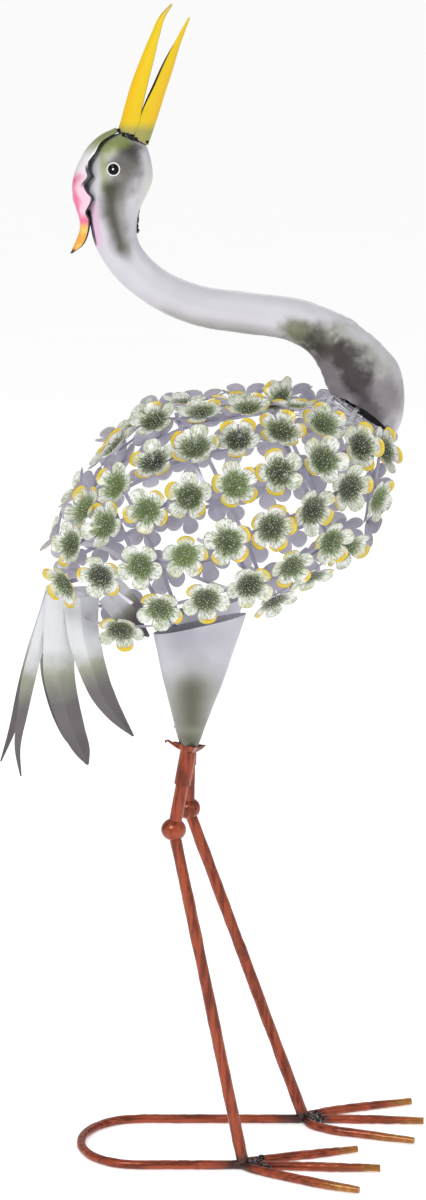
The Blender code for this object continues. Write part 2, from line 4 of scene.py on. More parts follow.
import bmesh
import bpy
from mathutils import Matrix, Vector


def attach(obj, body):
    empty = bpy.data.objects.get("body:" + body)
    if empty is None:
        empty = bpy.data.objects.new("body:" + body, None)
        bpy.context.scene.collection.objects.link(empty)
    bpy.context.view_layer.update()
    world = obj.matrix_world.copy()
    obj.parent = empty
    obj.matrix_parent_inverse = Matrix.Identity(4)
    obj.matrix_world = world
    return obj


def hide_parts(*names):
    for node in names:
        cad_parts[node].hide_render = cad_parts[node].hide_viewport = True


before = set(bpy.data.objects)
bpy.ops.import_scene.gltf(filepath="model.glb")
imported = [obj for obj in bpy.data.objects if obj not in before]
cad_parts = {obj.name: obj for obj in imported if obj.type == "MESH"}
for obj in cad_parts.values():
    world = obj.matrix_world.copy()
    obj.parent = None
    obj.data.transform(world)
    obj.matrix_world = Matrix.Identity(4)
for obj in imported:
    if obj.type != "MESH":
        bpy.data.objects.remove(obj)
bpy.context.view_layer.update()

# Base: one round steel rod bent to a U, whose ends run on as a toe of each foot, and four more toes.
# Hammered along its length and brushed with a glossy rust-red enamel that turns gold at the toe tips
# and sooty round the welds.


class Wire:
    """One socket of a finish, so that masks can be written as plain sums."""

    def __init__(self, finish, socket):
        self.finish = finish
        self.socket = socket

    def sum(self, operation, *values):
        """The socket of a new maths node over the values."""
        return self.finish.node("ShaderNodeMath", {"operation": operation}, dict(enumerate(values)))

    def __add__(self, other):
        return self.sum("ADD", self, other)

    def __radd__(self, other):
        return self.sum("ADD", other, self)

    def __sub__(self, other):
        return self.sum("SUBTRACT", self, other)

    def __rsub__(self, other):
        return self.sum("SUBTRACT", other, self)

    def __mul__(self, other):
        return self.sum("MULTIPLY", self, other)

    def __or__(self, other):
        return self.sum("MAXIMUM", self, other)


class Finish:
    """A painted or bare metal surface: its shader and the nodes that colour and dent it."""

    def __init__(self, name, roughness=0.4, metallic=0.0, coat=0.0, gloss=0.30):
        self.material = bpy.data.materials.new(name)
        self.material.use_nodes = True
        self.tree = self.material.node_tree
        self.shader = self.tree.nodes["Principled BSDF"]
        self.shader.inputs["Roughness"].default_value = roughness
        self.shader.inputs["Metallic"].default_value = metallic
        self.shader.inputs["Coat Weight"].default_value = coat
        self.shader.inputs["Coat Roughness"].default_value = 0.12
        self.shader.inputs["Specular IOR Level"].default_value = gloss
        self.place = self.node("ShaderNodeTexCoord", output="Object")

    def node(self, kind, settings=None, inputs=None, output=0):
        """A new node with its settings, its inputs set or joined to wires, and one of its outputs."""
        made = self.tree.nodes.new(kind)
        for key, value in (settings or {}).items():
            setattr(made, key, value)
        for key, value in (inputs or {}).items():
            socket = made.inputs[key]
            if isinstance(value, Wire):
                self.tree.links.new(value.socket, socket)
            elif socket.type == "RGBA":
                socket.default_value = (*value, 1.0)
            else:
                socket.default_value = value
        return Wire(self, made.outputs[output])

    def grain(self, scale, detail=3.0, stretch=(1.0, 1.0, 1.0)):
        """Noise through the piece, finer with a larger scale."""
        place = self.node("ShaderNodeMapping", None, {"Vector": self.place, "Scale": stretch})
        return self.node("ShaderNodeTexNoise", None, {"Vector": place, "Scale": scale, "Detail": detail})

    def fade(self, value, zero_at, one_at):
        """A soft step from 0 to 1 between two values."""
        return self.node("ShaderNodeMapRange", {"interpolation_type": "SMOOTHSTEP"},
                         {"Value": value, "From Min": zero_at, "From Max": one_at})

    def vector(self, operation, *values, output=0):
        """An output of a new vector maths node over the values."""
        return self.node("ShaderNodeVectorMath", {"operation": operation}, dict(enumerate(values)), output)

    def spot(self, centre, reach, core, noise, amount):
        """1 in the core of an oval and 0 from its reach outwards, its edge broken by a noise."""
        away = self.vector("SUBTRACT", self.place, centre)
        distance = self.vector("LENGTH", self.vector("DIVIDE", away, reach), output="Value")
        return self.edge(distance, core, noise, amount)

    def stroke(self, start, end, width, core, noise=None, amount=0.0):
        """Airbrush stroke between two (x, z) places, the same on both sides of the bird."""
        start, end = Vector((start[0], 0.0, start[1])), Vector((end[0], 0.0, end[1]))
        run = end - start
        flat = self.vector("MULTIPLY", self.place, (1.0, 0.0, 1.0))
        away = self.vector("SUBTRACT", flat, tuple(start))
        share = self.vector("DOT_PRODUCT", away, tuple(run / run.length_squared), output="Value")
        share = self.node("ShaderNodeClamp", None, {"Value": share})
        nearest = self.node("ShaderNodeVectorMath", {"operation": "SCALE"}, {0: tuple(run), "Scale": share})
        distance = self.vector("LENGTH", self.vector("SUBTRACT", away, nearest), output="Value")
        return self.edge(distance * (1.0 / width), core, noise, amount)

    def edge(self, distance, core, noise, amount):
        """The mask of a distance: 1 within the core and 0 from 1 outwards."""
        if noise:
            distance = distance + (noise - 0.5) * amount
        return self.fade(distance, 1.0, core)

    def mix(self, share, first, second):
        """Two colours mixed by a share; 6, 7 and 2 are the node's sockets for colours."""
        return self.node("ShaderNodeMix", {"data_type": "RGBA"}, {0: share, 6: first, 7: second}, 2)

    def coats(self, colour, *layers):
        """Sprays colours one over another, each where its mask says."""
        for mask, paint in layers:
            colour = self.mix(mask, colour, paint)
        return colour

    def wear(self, socket, value):
        """Joins a wire to an input of the shader."""
        self.tree.links.new(value.socket, self.shader.inputs[socket])

    def clouded(self, scale, first, second, dent_scale, strength, depth):
        """Wears one colour clouded into another, with fine dents."""
        self.wear("Base Color", self.mix(self.grain(scale), first, second))
        self.dent(self.grain(dent_scale), strength, depth)

    def dent(self, height, strength, depth):
        """Fine relief that is too small to model."""
        bump = self.node("ShaderNodeBump", None, {"Height": height, "Strength": strength, "Distance": depth})
        self.wear("Normal", bump)


def flow(knots, step, axes=3):
    """Smooth run through knots, about a step apart; the first axes numbers of a knot are its place."""
    spans = [math.dist(first[:axes], second[:axes]) for first, second in zip(knots, knots[1:])]
    slopes = []
    for index in range(len(knots)):
        behind = max(index - 1, 0)
        ahead = min(index, len(spans) - 1)
        slope = []
        for axis in range(len(knots[0])):
            before = (knots[behind + 1][axis] - knots[behind][axis]) / spans[behind]
            after = (knots[ahead + 1][axis] - knots[ahead][axis]) / spans[ahead]
            slope.append((before * spans[ahead] + after * spans[behind]) / (spans[ahead] + spans[behind]))
        slopes.append(slope)
    run = []
    for index, span in enumerate(spans):
        count = max(1, round(span / step))
        for number in range(count):
            t = number / count
            point = []
            for axis in range(len(knots[0])):
                start, end = knots[index][axis], knots[index + 1][axis]
                leave, arrive = slopes[index][axis] * span, slopes[index + 1][axis] * span
                point.append(start + t * leave + t * t * (3 * (end - start) - 2 * leave - arrive)
                             + t ** 3 * (2 * (start - end) + leave + arrive))
            run.append(tuple(point))
    run.append(tuple(knots[-1]))
    return run


def bar(name, run, sides=16):
    """Solid round bar along a run of places, each with its own radius as the fourth number."""
    bpy.ops.curve.primitive_bezier_curve_add(location=(0.0, 0.0, 0.0))
    curve = bpy.context.object.data
    curve.splines.clear()
    curve.dimensions = "3D"
    curve.bevel_depth = 1.0
    curve.bevel_resolution = (sides - 4) // 2
    curve.use_fill_caps = True
    spline = curve.splines.new("POLY")
    spline.points.add(len(run) - 1)
    for point, (x, y, z, radius) in zip(spline.points, run):
        point.co = (x, y, z, 1.0)
        point.radius = radius
    bpy.ops.object.convert(target="MESH")
    item = bpy.context.object
    item.name = name
    bpy.ops.object.mode_set(mode="EDIT")
    bpy.ops.mesh.select_all(action="SELECT")
    bpy.ops.mesh.remove_doubles(threshold=0.00002)
    bpy.ops.mesh.normals_make_consistent(inside=False)
    bpy.ops.object.mode_set(mode="OBJECT")
    return item


def only(item):
    """Selects one piece alone and makes it the active one."""
    bpy.ops.object.select_all(action="DESELECT")
    item.select_set(True)
    bpy.context.view_layer.objects.active = item


def hammer(item, depth, size, group=""):
    """Beats dents of a size into a piece, deepest where the group weighs most."""
    texture = bpy.data.textures.new(item.name + "_dents", "CLOUDS")
    texture.noise_scale = size
    dents = item.modifiers.new("dents", "DISPLACE")
    dents.texture = texture
    dents.strength = depth
    dents.vertex_group = group
    only(item)
    bpy.ops.object.modifier_apply(modifier="dents")


def fit(item, finishes, nodes, crease=35.0):
    """Paints a finished piece and lets it stand for its CAD nodes."""
    only(item)
    bpy.ops.object.transform_apply(location=True, rotation=True, scale=True)
    bpy.ops.object.shade_smooth_by_angle(angle=math.radians(crease))
    if not item.data.materials:
        for finish in finishes:
            item.data.materials.append(finish.material)
    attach(item, "root")
    if nodes:
        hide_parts(*nodes)


ROD = 0.0040
RAIL_SPACING = 0.104
LOOP_REAR_X = -0.121
LOOP_STEPS = 12
NEAR_HUB = Vector((0.020, -RAIL_SPACING / 2, ROD))
FAR_HUB = Vector((0.078, RAIL_SPACING / 2, ROD))
TOE_TIP = 0.0030
NEAR_TOES = {
    "outer": ((0.013, -0.0095), (0.037, -0.0235), (0.076, -0.0430), (0.1025, -0.0535)),
    "middle": ((0.004, -0.0005), (0.050, -0.0030), (0.088, -0.0057), (0.1230, -0.0070)),
    "inner": ((0.005, 0.0056), (0.030, 0.0138), (0.065, 0.0235), (0.1050, 0.0350)),
}
FAR_TOES = {
    "inner": ((0.008, -0.0130), (0.024, -0.0250), (0.052, -0.0350), (0.0990, -0.0505)),
    "middle": ((0.003, 0.0000), (0.030, -0.0004), (0.062, -0.0015), (0.1106, -0.0050)),
    "outer": ((0.003, 0.0060), (0.020, 0.0155), (0.052, 0.0270), (0.1020, 0.0420)),
}

rust = Finish("rust_red_enamel", roughness=0.26, metallic=0.30, coat=0.18)
mottle = rust.grain(70.0, 4.0)
level = rust.node("ShaderNodeSeparateXYZ", None, {"Vector": rust.place}, "Z")
standing = rust.fade(level, 0.009, 0.020)
streak = rust.grain(260.0, 3.0, (1.0, 1.0, 0.07)) * standing
streak = streak + rust.grain(260.0, 3.0, (0.09, 1.0, 1.0)) * (1.0 - standing)
rust_colour = rust.mix(rust.fade(streak + mottle * 0.4 - 0.2, 0.36, 0.62), (0.150, 0.026, 0.010),
                       (0.345, 0.064, 0.024))
tip_gold = None
for hub, toes in ((NEAR_HUB, NEAR_TOES), (FAR_HUB, FAR_TOES)):
    for steps in toes.values():
        tip = (hub.x + steps[-1][0] + 0.004, hub.y + steps[-1][1], hub.z)
        gold_length = 0.060 if steps[-1][1] < -0.045 else 0.034
        tip_mask = rust.spot(tip, (gold_length,) * 3, 0.15, mottle, 0.5)
        tip_gold = tip_gold | tip_mask if tip_gold else tip_mask
fleck = rust.fade(rust.grain(260.0, 2.0), 0.50, 0.68)
rust_colour = rust.mix(tip_gold * (0.35 + fleck * 0.45), rust_colour, (0.46, 0.27, 0.035))
soot = rust.spot(tuple(NEAR_HUB), (0.030, 0.022, 0.018), 0.25, mottle, 0.8)
soot = soot | rust.spot(tuple(FAR_HUB), (0.032, 0.022, 0.018), 0.25, mottle, 0.8)
rust.wear("Base Color", rust.mix(soot * 0.85, rust_colour, (0.018, 0.017, 0.018)))
rust.wear("Roughness", 0.20 + streak * 0.22)
rust.dent(streak + mottle * 0.4, 0.30, 0.0008)


def steps_from(hub, steps):
    """A toe's places, from its steps ahead of and across the middle of its foot."""
    return [(hub.x + forward, hub.y + across, hub.z) for forward, across in steps]


loop_radius = RAIL_SPACING / 2
base_knots = list(reversed(steps_from(NEAR_HUB, NEAR_TOES["outer"]))) + [tuple(NEAR_HUB)]
base_knots += [(NEAR_HUB.x - back, NEAR_HUB.y, NEAR_HUB.z) for back in (0.010, 0.035, 0.065)]
for step in range(LOOP_STEPS + 1):
    angle = -math.pi / 2 - math.pi * step / LOOP_STEPS
    base_knots.append((LOOP_REAR_X + loop_radius + loop_radius * math.cos(angle),
                       loop_radius * math.sin(angle), ROD))
base_knots += [(FAR_HUB.x - back, FAR_HUB.y, FAR_HUB.z) for back in (0.110, 0.060, 0.025, 0.006)]
base_knots += [tuple(FAR_HUB)] + steps_from(FAR_HUB, FAR_TOES["inner"])
base_knots = [(*knot, ROD) for knot in base_knots]
base_knots[0] = (*base_knots[0][:3], TOE_TIP)
base_knots[-1] = (*base_knots[-1][:3], TOE_TIP)
base = bar("base_loop_rod", flow(base_knots, 0.0018))
hammer(base, 0.0009, 0.010)
fit(base, [rust], ["base_loop"])

for foot, hub, toes in (("near", NEAR_HUB, NEAR_TOES), ("far", FAR_HUB, FAR_TOES)):
    for name in ("middle", "inner" if foot == "near" else "outer"):
        knots = [(*place, ROD) for place in steps_from(hub, toes[name])]
        knots[-1] = (*knots[-1][:3], TOE_TIP)
        toe = bar("toe_rod_%s_%s" % (foot, name), flow(knots, 0.0014))
        hammer(toe, 0.0011, 0.008)
        fit(toe, [rust], ["toe_%s_%s" % (foot, name)])

# Legs: a plain rod from foot to knee, a turned bead at the knee, and above it a tube rolled from
# sheet, all in the same rust-red enamel.

THIGH_BASE_Z = 0.378
KNEES = {"near": Vector((-0.0368, -0.036, 0.3050)), "far": Vector((-0.0250, 0.036, 0.3030))}
HIPS = {"near": Vector((-0.0235, -0.032, THIGH_BASE_Z)), "far": Vector((-0.0235, 0.032, THIGH_BASE_Z))}
FEET = {"near": NEAR_HUB + Vector((0.0032, 0.0, 0.003)), "far": FAR_HUB + Vector((0.001, 0.0, 0.003))}
LEG_RADIUS = 0.0051
BEAD_RADIUS = 0.0108
BEAD_HALF_HEIGHT = 0.0097
TUBE_RADIUS = 0.0059
TUBE_ABOVE_KNEE = 0.008
TUBE_PAST_HIP = 0.004
SLEEVE_RADIUS = 0.0073
SEAM_LAP = math.radians(50.0)
SEAM_STEP = 0.0009
TUBE_SHEET = 0.0007
TUBE_SIDES = 48
TUBE_LEVELS = 24
TUBE_SEAM = math.radians(-40.0)


def join_rows(mesh, rows, closed=False):
    """Faces between each row of vertices and the next; closed rows run round."""
    for lower, upper in zip(rows, rows[1:]):
        for index in range(len(lower) if closed else len(lower) - 1):
            after = (index + 1) % len(lower)
            mesh.faces.new((lower[index], lower[after], upper[after], upper[index]))


def from_mesh(name, meshes, *finishes):
    """One object, with its finishes, from one or more meshes that are drawn in code."""
    parts = []
    for mesh in meshes:
        data = bpy.data.meshes.new(name)
        mesh.to_mesh(data)
        mesh.free()
        item = bpy.data.objects.new(name, data)
        bpy.context.scene.collection.objects.link(item)
        parts.append(item)
    join(parts)
    for finish in finishes:
        parts[0].data.materials.append(finish.material)
    return parts[0]


def join(parts):
    """Joins parts to the first of them."""
    only(parts[0])
    for part in parts:
        part.select_set(True)
    if len(parts) > 1:
        bpy.ops.object.join()


def thicken(item, thickness, offset=-1.0, inside=0, rim=0):
    """Gives a sheet its thickness; inside and rim count on to the finishes of those faces."""
    sheet = item.modifiers.new("sheet", "SOLIDIFY")
    sheet.thickness = thickness
    sheet.offset = offset
    sheet.material_offset = inside
    sheet.material_offset_rim = rim
    only(item)
    bpy.ops.object.modifier_apply(modifier="sheet")


def rolled(name, start, end, radius, bearing):
    """Sheet rolled into a tube from start to end, its outer edge lapping over at a bearing."""
    axis = end - start
    turn = axis.to_track_quat("Z", "Y")
    mesh = bmesh.new()
    rows = []
    for level in range(TUBE_LEVELS + 1):
        row = []
        for index in range(TUBE_SIDES + 1):
            share = index / TUBE_SIDES
            angle = bearing - (2 * math.pi + SEAM_LAP) * (1.0 - share)
            reach = radius - SEAM_STEP * (1.0 - share)
            height = axis.length * level / TUBE_LEVELS
            local = Vector((reach * math.cos(angle), reach * math.sin(angle), height))
            row.append(mesh.verts.new(start + turn @ local))
        rows.append(row)
    join_rows(mesh, rows)
    item = from_mesh(name, [mesh])
    thicken(item, TUBE_SHEET)
    return item


for side in ("near", "far"):
    knee, hip, foot = KNEES[side], HIPS[side], FEET[side]
    leg_knots = [(*knee, LEG_RADIUS), (*knee.lerp(foot, 0.5), LEG_RADIUS), (*foot, LEG_RADIUS * 1.05)]
    leg = bar("leg_rod_" + side, flow(leg_knots, 0.0022))
    hammer(leg, 0.0012, 0.017)
    fit(leg, [rust], ["leg_" + side])

    bpy.ops.mesh.primitive_uv_sphere_add(segments=40, ring_count=24, radius=BEAD_RADIUS, location=knee)
    bead = bpy.context.object
    bead.name = "knee_ball_" + side
    bead.scale = (1.0, 1.0, BEAD_HALF_HEIGHT / BEAD_RADIUS)
    bpy.ops.object.transform_apply(location=True, rotation=True, scale=True)
    hammer(bead, 0.0005, 0.006)
    fit(bead, [rust], ["knee_bead_" + side], crease=80.0)

    rise = (hip - knee).normalized()
    tube = rolled("leg_tube_" + side, knee + rise * TUBE_ABOVE_KNEE, hip + rise * TUBE_PAST_HIP,
                  TUBE_RADIUS, TUBE_SEAM)
    hammer(tube, 0.0003, 0.008)
    fit(tube, [rust], ["upper_leg_" + side])

# Sleeves: a shorter roll of the same sheet round the top of each tube. Its top edge is cut into
# four points that are bent outwards and carry the thigh; one on the near side is drawn out and curls.

SLEEVE_LENGTH = 0.034
SLEEVE_BELOW_HIP = 0.0035
SLEEVE_SEAM = math.radians(-70.0)
CROWN_POINTS = 4
CROWN_STEPS = 12
CROWN_SIDES = 64
CROWN_TUCK = 0.0006
CROWN_ROOT = -0.0040
CROWN_HEIGHT = 0.0050
POINT_HEIGHT = 0.0014
VALLEY_FLARE = 0.0016
POINT_FLARE = 0.0064


def crown(name, hip, turn):
    """Four points that flare from the top of a sleeve."""
    mesh = bmesh.new()
    rows = []
    for level in range(CROWN_STEPS + 1):
        share = level / CROWN_STEPS
        row = []
        for index in range(CROWN_SIDES):
            angle = 2 * math.pi * index / CROWN_SIDES
            wave = abs(((angle * CROWN_POINTS / (2 * math.pi)) % 1.0) - 0.5) * 2.0
            reach = VALLEY_FLARE + POINT_FLARE * wave ** 2.2
            height = CROWN_ROOT + CROWN_HEIGHT * share ** 1.6 + POINT_HEIGHT * share ** 3 * wave
            radius = SLEEVE_RADIUS - CROWN_TUCK + reach * share
            row.append(mesh.verts.new((radius * math.cos(angle), radius * math.sin(angle), height)))
        rows.append(row)
    join_rows(mesh, rows, closed=True)
    item = from_mesh(name, [mesh])
    item.location = hip
    item.rotation_euler = turn.to_euler()
    thicken(item, TUBE_SHEET, 0.0)
    bpy.ops.object.transform_apply(location=True, rotation=True, scale=True)
    return item


for side in ("near", "far"):
    hip = HIPS[side]
    rise = (hip - KNEES[side]).normalized()
    sleeve = rolled("leg_sleeve_" + side, hip - rise * SLEEVE_LENGTH, hip - rise * SLEEVE_BELOW_HIP,
                    SLEEVE_RADIUS, SLEEVE_SEAM)
    parts = [sleeve, crown("crown_" + side, hip, rise.to_track_quat("Z", "Y"))]
    if side == "near":
        curl = [(hip.x - ahead, hip.y - 0.0035, hip.z + above, radius)
                for ahead, above, radius in ((0.0050, -0.0006, 0.0020), (0.0100, 0.0006, 0.0016),
                                             (0.0150, 0.0038, 0.0012), (0.0185, 0.0058, 0.0009),
                                             (0.0202, 0.0052, 0.0007), (0.0196, 0.0040, 0.0005))]
        parts.append(bar("curled_point", flow(curl, 0.0008), 10))
    join(parts)
    hammer(sleeve, 0.0003, 0.006)
    fit(sleeve, [rust], ["sleeve_" + side])

# Welds: a lump of grey weld metal where the leg and the toes meet on each foot, dark with soot and
# silvery where the bead is ridged.

weld = Finish("weld_metal", roughness=0.38, metallic=0.85)
ridges = weld.grain(330.0, 5.0)
weld.wear("Base Color", weld.mix(weld.fade(ridges, 0.50, 0.70), (0.022, 0.021, 0.022), (0.42, 0.43, 0.45)))
weld.wear("Roughness", 0.28 + ridges * 0.35)
weld.dent(weld.grain(700.0, 5.0), 0.8, 0.0008)
WELD_DROPS = 34


def melted(name, drops, fineness):
    """Drops of metal, each a place and a radius, run together into one lump."""
    balls = []
    for place, radius in drops:
        bpy.ops.mesh.primitive_ico_sphere_add(subdivisions=2, radius=radius, location=place)
        balls.append(bpy.context.object)
    join(balls)
    lump = balls[0]
    lump.name = name
    bpy.ops.object.transform_apply(location=True, rotation=True, scale=True)
    melt = lump.modifiers.new("melt", "REMESH")
    melt.mode = "VOXEL"
    melt.voxel_size = fineness
    bpy.ops.object.modifier_apply(modifier="melt")
    return lump


def weld_lump(name, hub, toes, seed):
    """Weld metal round the foot of a leg and along the roots of its toes."""
    chance = random.Random(seed)
    drops = []
    for number in range(WELD_DROPS):
        ahead, across = list(toes.values())[number % 3][1]
        root = Vector((ahead, across, 0.0)) * chance.uniform(0.05, 0.60)
        stray = Vector((chance.uniform(-0.002, 0.002), chance.uniform(-0.002, 0.002),
                        chance.uniform(0.0, 0.0026)))
        drops.append((hub + root + stray, chance.uniform(0.0022, 0.0036)))
    lump = melted(name, drops, 0.0006)
    soften = lump.modifiers.new("soften", "SMOOTH")
    soften.factor = 0.6
    soften.iterations = 10
    bpy.ops.object.modifier_apply(modifier="soften")
    hammer(lump, 0.0010, 0.0024)
    fit(lump, [weld], [], crease=60.0)


weld_lump("foot_weld_near", NEAR_HUB + Vector((0.004, 0.0, 0.0)), NEAR_TOES, 4)
weld_lump("foot_weld_far", FAR_HUB + Vector((0.003, 0.0, 0.0)), FAR_TOES, 9)

# Thighs: a sheet funnel on each sleeve, open at a sloping top rim inside the cage. Satin
# lilac-white paint with an olive-grey cloud airbrushed low on it.

THIGH_BASE_RADIUS = 0.0078
RIM_CENTRE = Vector((-0.0165, 0.0, 0.4850))
RIM_HALF_LENGTH = 0.0385
RIM_HALF_WIDTH = 0.0150
RIM_SLOPE = math.radians(12.4)
THIGH_WALL = 0.0010
CONE_RISE = 0.150

lilac = Finish("lilac_white_paint", roughness=0.33, metallic=0.12, coat=0.12)
cloud = lilac.grain(26.0)
smoke = lilac.stroke((-0.0225, 0.370), (-0.0210, 0.424), 0.044, 0.0, cloud, 0.4)
umber = lilac.stroke((-0.0215, 0.404), (-0.0210, 0.432), 0.020, 0.0, cloud, 0.5)
umber = umber | lilac.stroke((-0.0235, 0.376), (-0.0230, 0.386), 0.018, 0.0, cloud, 0.5)
lilac_colour = lilac.coats(
    lilac.mix(cloud, (0.46, 0.45, 0.51), (0.58, 0.57, 0.63)),
    (smoke * 0.85, (0.185, 0.200, 0.125)),
    (umber * 0.80, (0.085, 0.072, 0.050)))
lilac.wear("Base Color", lilac_colour)
lilac.wear("Roughness", 0.30 + cloud * 0.15)
lilac.dent(lilac.grain(14.0, 2.0) + lilac.grain(900.0, 2.0) * 0.02, 0.25, 0.0030)


def thigh(side):
    """Funnel drawn up past its rim and cut off there on a slope."""
    hip = HIPS[side]
    share_at_top = CONE_RISE / (RIM_CENTRE.z - hip.z)
    bpy.ops.mesh.primitive_cone_add(
        vertices=72, end_fill_type="NOTHING", depth=CONE_RISE, radius1=THIGH_BASE_RADIUS,
        radius2=THIGH_BASE_RADIUS + (RIM_HALF_LENGTH - THIGH_BASE_RADIUS) * share_at_top)
    item = bpy.context.object
    item.name = "thigh_funnel_" + side
    bpy.ops.object.mode_set(mode="EDIT")
    bpy.ops.mesh.subdivide(number_cuts=30)
    bpy.ops.object.mode_set(mode="OBJECT")
    lean = (RIM_CENTRE.x - hip.x) / (RIM_CENTRE.z - hip.z)
    for vertex in item.data.vertices:
        height = vertex.co.z + CONE_RISE / 2
        share = min(height / (RIM_CENTRE.z - hip.z), 1.0)
        swell = 1.0 + 0.05 * math.sin(math.pi * share)
        flat = 1.0 + (RIM_HALF_WIDTH / RIM_HALF_LENGTH - 1.0) * share
        vertex.co = Vector((vertex.co.x * swell + hip.x + lean * height,
                            vertex.co.y * flat * swell + hip.y, hip.z + height))
    bpy.ops.object.mode_set(mode="EDIT")
    bpy.ops.mesh.select_all(action="SELECT")
    bpy.ops.mesh.bisect(plane_co=RIM_CENTRE, plane_no=(-math.sin(RIM_SLOPE), 0.0, math.cos(RIM_SLOPE)),
                        clear_outer=True)
    bpy.ops.object.mode_set(mode="OBJECT")
    hammer(item, 0.0012, 0.030)
    thicken(item, THIGH_WALL)
    fit(item, [lilac], ["thigh_" + side])


thigh("near")
thigh("far")

# Cage: an egg of thin grey strips welded to each other, with a strip under every row of flowers,
# cross strips behind them, slanting ones that close the breast, and a collar that rises into the neck.

BODY_CENTRE = Vector((-0.003, 0.0, 0.580))
BODY_TILT = math.radians(25.0)
BODY_FORWARD = Vector((math.cos(BODY_TILT), 0.0, math.sin(BODY_TILT)))
BODY_UPWARD = Vector((-math.sin(BODY_TILT), 0.0, math.cos(BODY_TILT)))
BODY_HALF_LENGTH = 0.158
BODY_HALF_DEPTH = 0.094
BODY_HALF_WIDTH = 0.094
STRIP_WIDTH = 0.0034
STRIP_THICKNESS = 0.0009
ROW_LIFT = 0.0034
CROSS_DROP = 0.0028
BACK_FLATNESS = 0.70
HOOP_STEPS = 36

strip_grey = Finish("grey_strip_paint", roughness=0.42, metallic=0.3)
strip_cloud = strip_grey.grain(120.0, 4.0)
strip_grey.wear("Base Color", strip_grey.mix(strip_cloud, (0.36, 0.345, 0.43), (0.56, 0.545, 0.63)))
strip_grey.wear("Roughness", 0.34 + strip_cloud * 0.2)
strip_grey.dent(strip_grey.grain(500.0), 0.3, 0.0005)


def egg_point(along, around):
    """Point on the cage: along runs -1 at the tail to 1 at the breast, around is 0 on the back."""
    girth = math.sqrt(max(0.0, 1.0 - along * along))
    upness = max(math.cos(around), 0.0)
    if along < 0.0:
        back = (1.0 - abs(along) ** 1.6) ** 0.8
    else:
        back = (1.0 - BACK_FLATNESS * along) * math.sqrt(max(0.0, 1.0 - along ** 6))
        upness = upness ** 1.5
    depth = BODY_HALF_DEPTH * (back * upness + girth * (1.0 - upness)) * math.cos(around)
    sideways = Vector((0.0, -BODY_HALF_WIDTH * girth * math.sin(around), 0.0))
    return BODY_CENTRE + BODY_FORWARD * BODY_HALF_LENGTH * along + BODY_UPWARD * depth + sideways


def egg_normal(along, around):
    """Direction out of the cage at a place on it."""
    east = egg_point(along + 0.01, around) - egg_point(along - 0.01, around)
    south = egg_point(along, around + 0.01) - egg_point(along, around - 0.01)
    normal = east.cross(south).normalized()
    if normal.dot(egg_point(along, around) - BODY_CENTRE) < 0.0:
        normal.negate()
    return normal


def strip(path, width, lift, sign, rise=0.0):
    """Flat strip laid over the cage along a path of (along, around) places, its end risen off it."""
    mesh = bmesh.new()
    rows = []
    for index, (along, around) in enumerate(path):
        before = egg_point(*path[max(index - 1, 0)])
        after = egg_point(*path[min(index + 1, len(path) - 1)])
        normal = egg_normal(along, around)
        across = normal.cross((after - before).normalized()).normalized()
        centre = egg_point(along, around) + normal * lift
        centre.z += rise * (index / (len(path) - 1)) ** 1.5
        row = []
        for side, depth in ((0.5, 0.0), (-0.5, 0.0), (-0.5, -1.0), (0.5, -1.0)):
            corner = centre + across * width * side + normal * STRIP_THICKNESS * depth
            row.append(mesh.verts.new((corner.x, corner.y * sign, corner.z)))
        rows.append(row)
    join_rows(mesh, rows, closed=True)
    mesh.faces.new(rows[0])
    mesh.faces.new(rows[-1])
    bmesh.ops.recalc_face_normals(mesh, faces=mesh.faces)
    return mesh


for name, along in (("rear", -0.45), ("middle", 0.05), ("front", 0.52)):
    for side, sign in (("near", 1.0), ("far", -1.0)):
        path = [(along, math.radians(6.0 + 150.0 * step / HOOP_STEPS)) for step in range(HOOP_STEPS + 1)]
        item = from_mesh("cage_hoop_%s_%s" % (name, side), [strip(path, STRIP_WIDTH, -CROSS_DROP, sign)])
        fit(item, [strip_grey], ["cross_strip_%s_%s" % (name, side)])

LATTICE = (
    ((0.60, 8.0), (0.72, 20.0), (0.84, 34.0), (0.93, 55.0)),
    ((0.60, 22.0), (0.73, 36.0), (0.86, 56.0), (0.93, 78.0)),
    ((0.62, 40.0), (0.76, 56.0), (0.88, 78.0)),
    ((0.72, 2.0), (0.82, 14.0), (0.91, 30.0)),
    ((0.86, 8.0), (0.78, 24.0), (0.70, 42.0), (0.64, 56.0)),
    ((0.92, 22.0), (0.85, 42.0), (0.77, 60.0), (0.71, 74.0)),
    ((0.74, 6.0), (0.66, 20.0), (0.58, 34.0)),
    ((0.94, 48.0), (0.89, 66.0), (0.82, 84.0)),
    ((-0.88, 62.0), (-0.78, 80.0), (-0.66, 98.0), (-0.58, 118.0)),
    ((-0.20, 112.0), (-0.08, 128.0), (0.04, 146.0)),
)
COLLAR = (
    ((0.72, 40.0), (0.77, 26.0), (0.80, 14.0)),
    ((0.91, 36.0), (0.85, 26.0), (0.77, 14.0)),
    ((0.78, 36.0), (0.82, 24.0), (0.86, 12.0)),
    ((0.93, 40.0), (0.87, 26.0), (0.79, 10.0)),
    ((0.87, 50.0), (0.90, 34.0), (0.93, 20.0)),
)
LATTICE_DROP = 0.0022
LATTICE_STEP = 2.0
COLLAR_WIDTH = 0.0040
COLLAR_RISE = 0.012
lattice = []
for sign in (1.0, -1.0):
    for group, width, lift, rise in ((COLLAR, COLLAR_WIDTH, 0.0, COLLAR_RISE),
                                     (LATTICE, STRIP_WIDTH, -LATTICE_DROP, 0.0)):
        for knots in group:
            path = [(along, math.radians(around)) for along, around in flow(knots, LATTICE_STEP)]
            lattice.append(strip(path, width, lift, sign, rise))
strip_silver = Finish("silver_strip_paint", roughness=0.35, metallic=0.4)
strip_silver.clouded(150.0, (0.58, 0.57, 0.62), (0.84, 0.83, 0.87), 150.0, 0.3, 0.0005)
cage = from_mesh("cage_lattice", lattice)
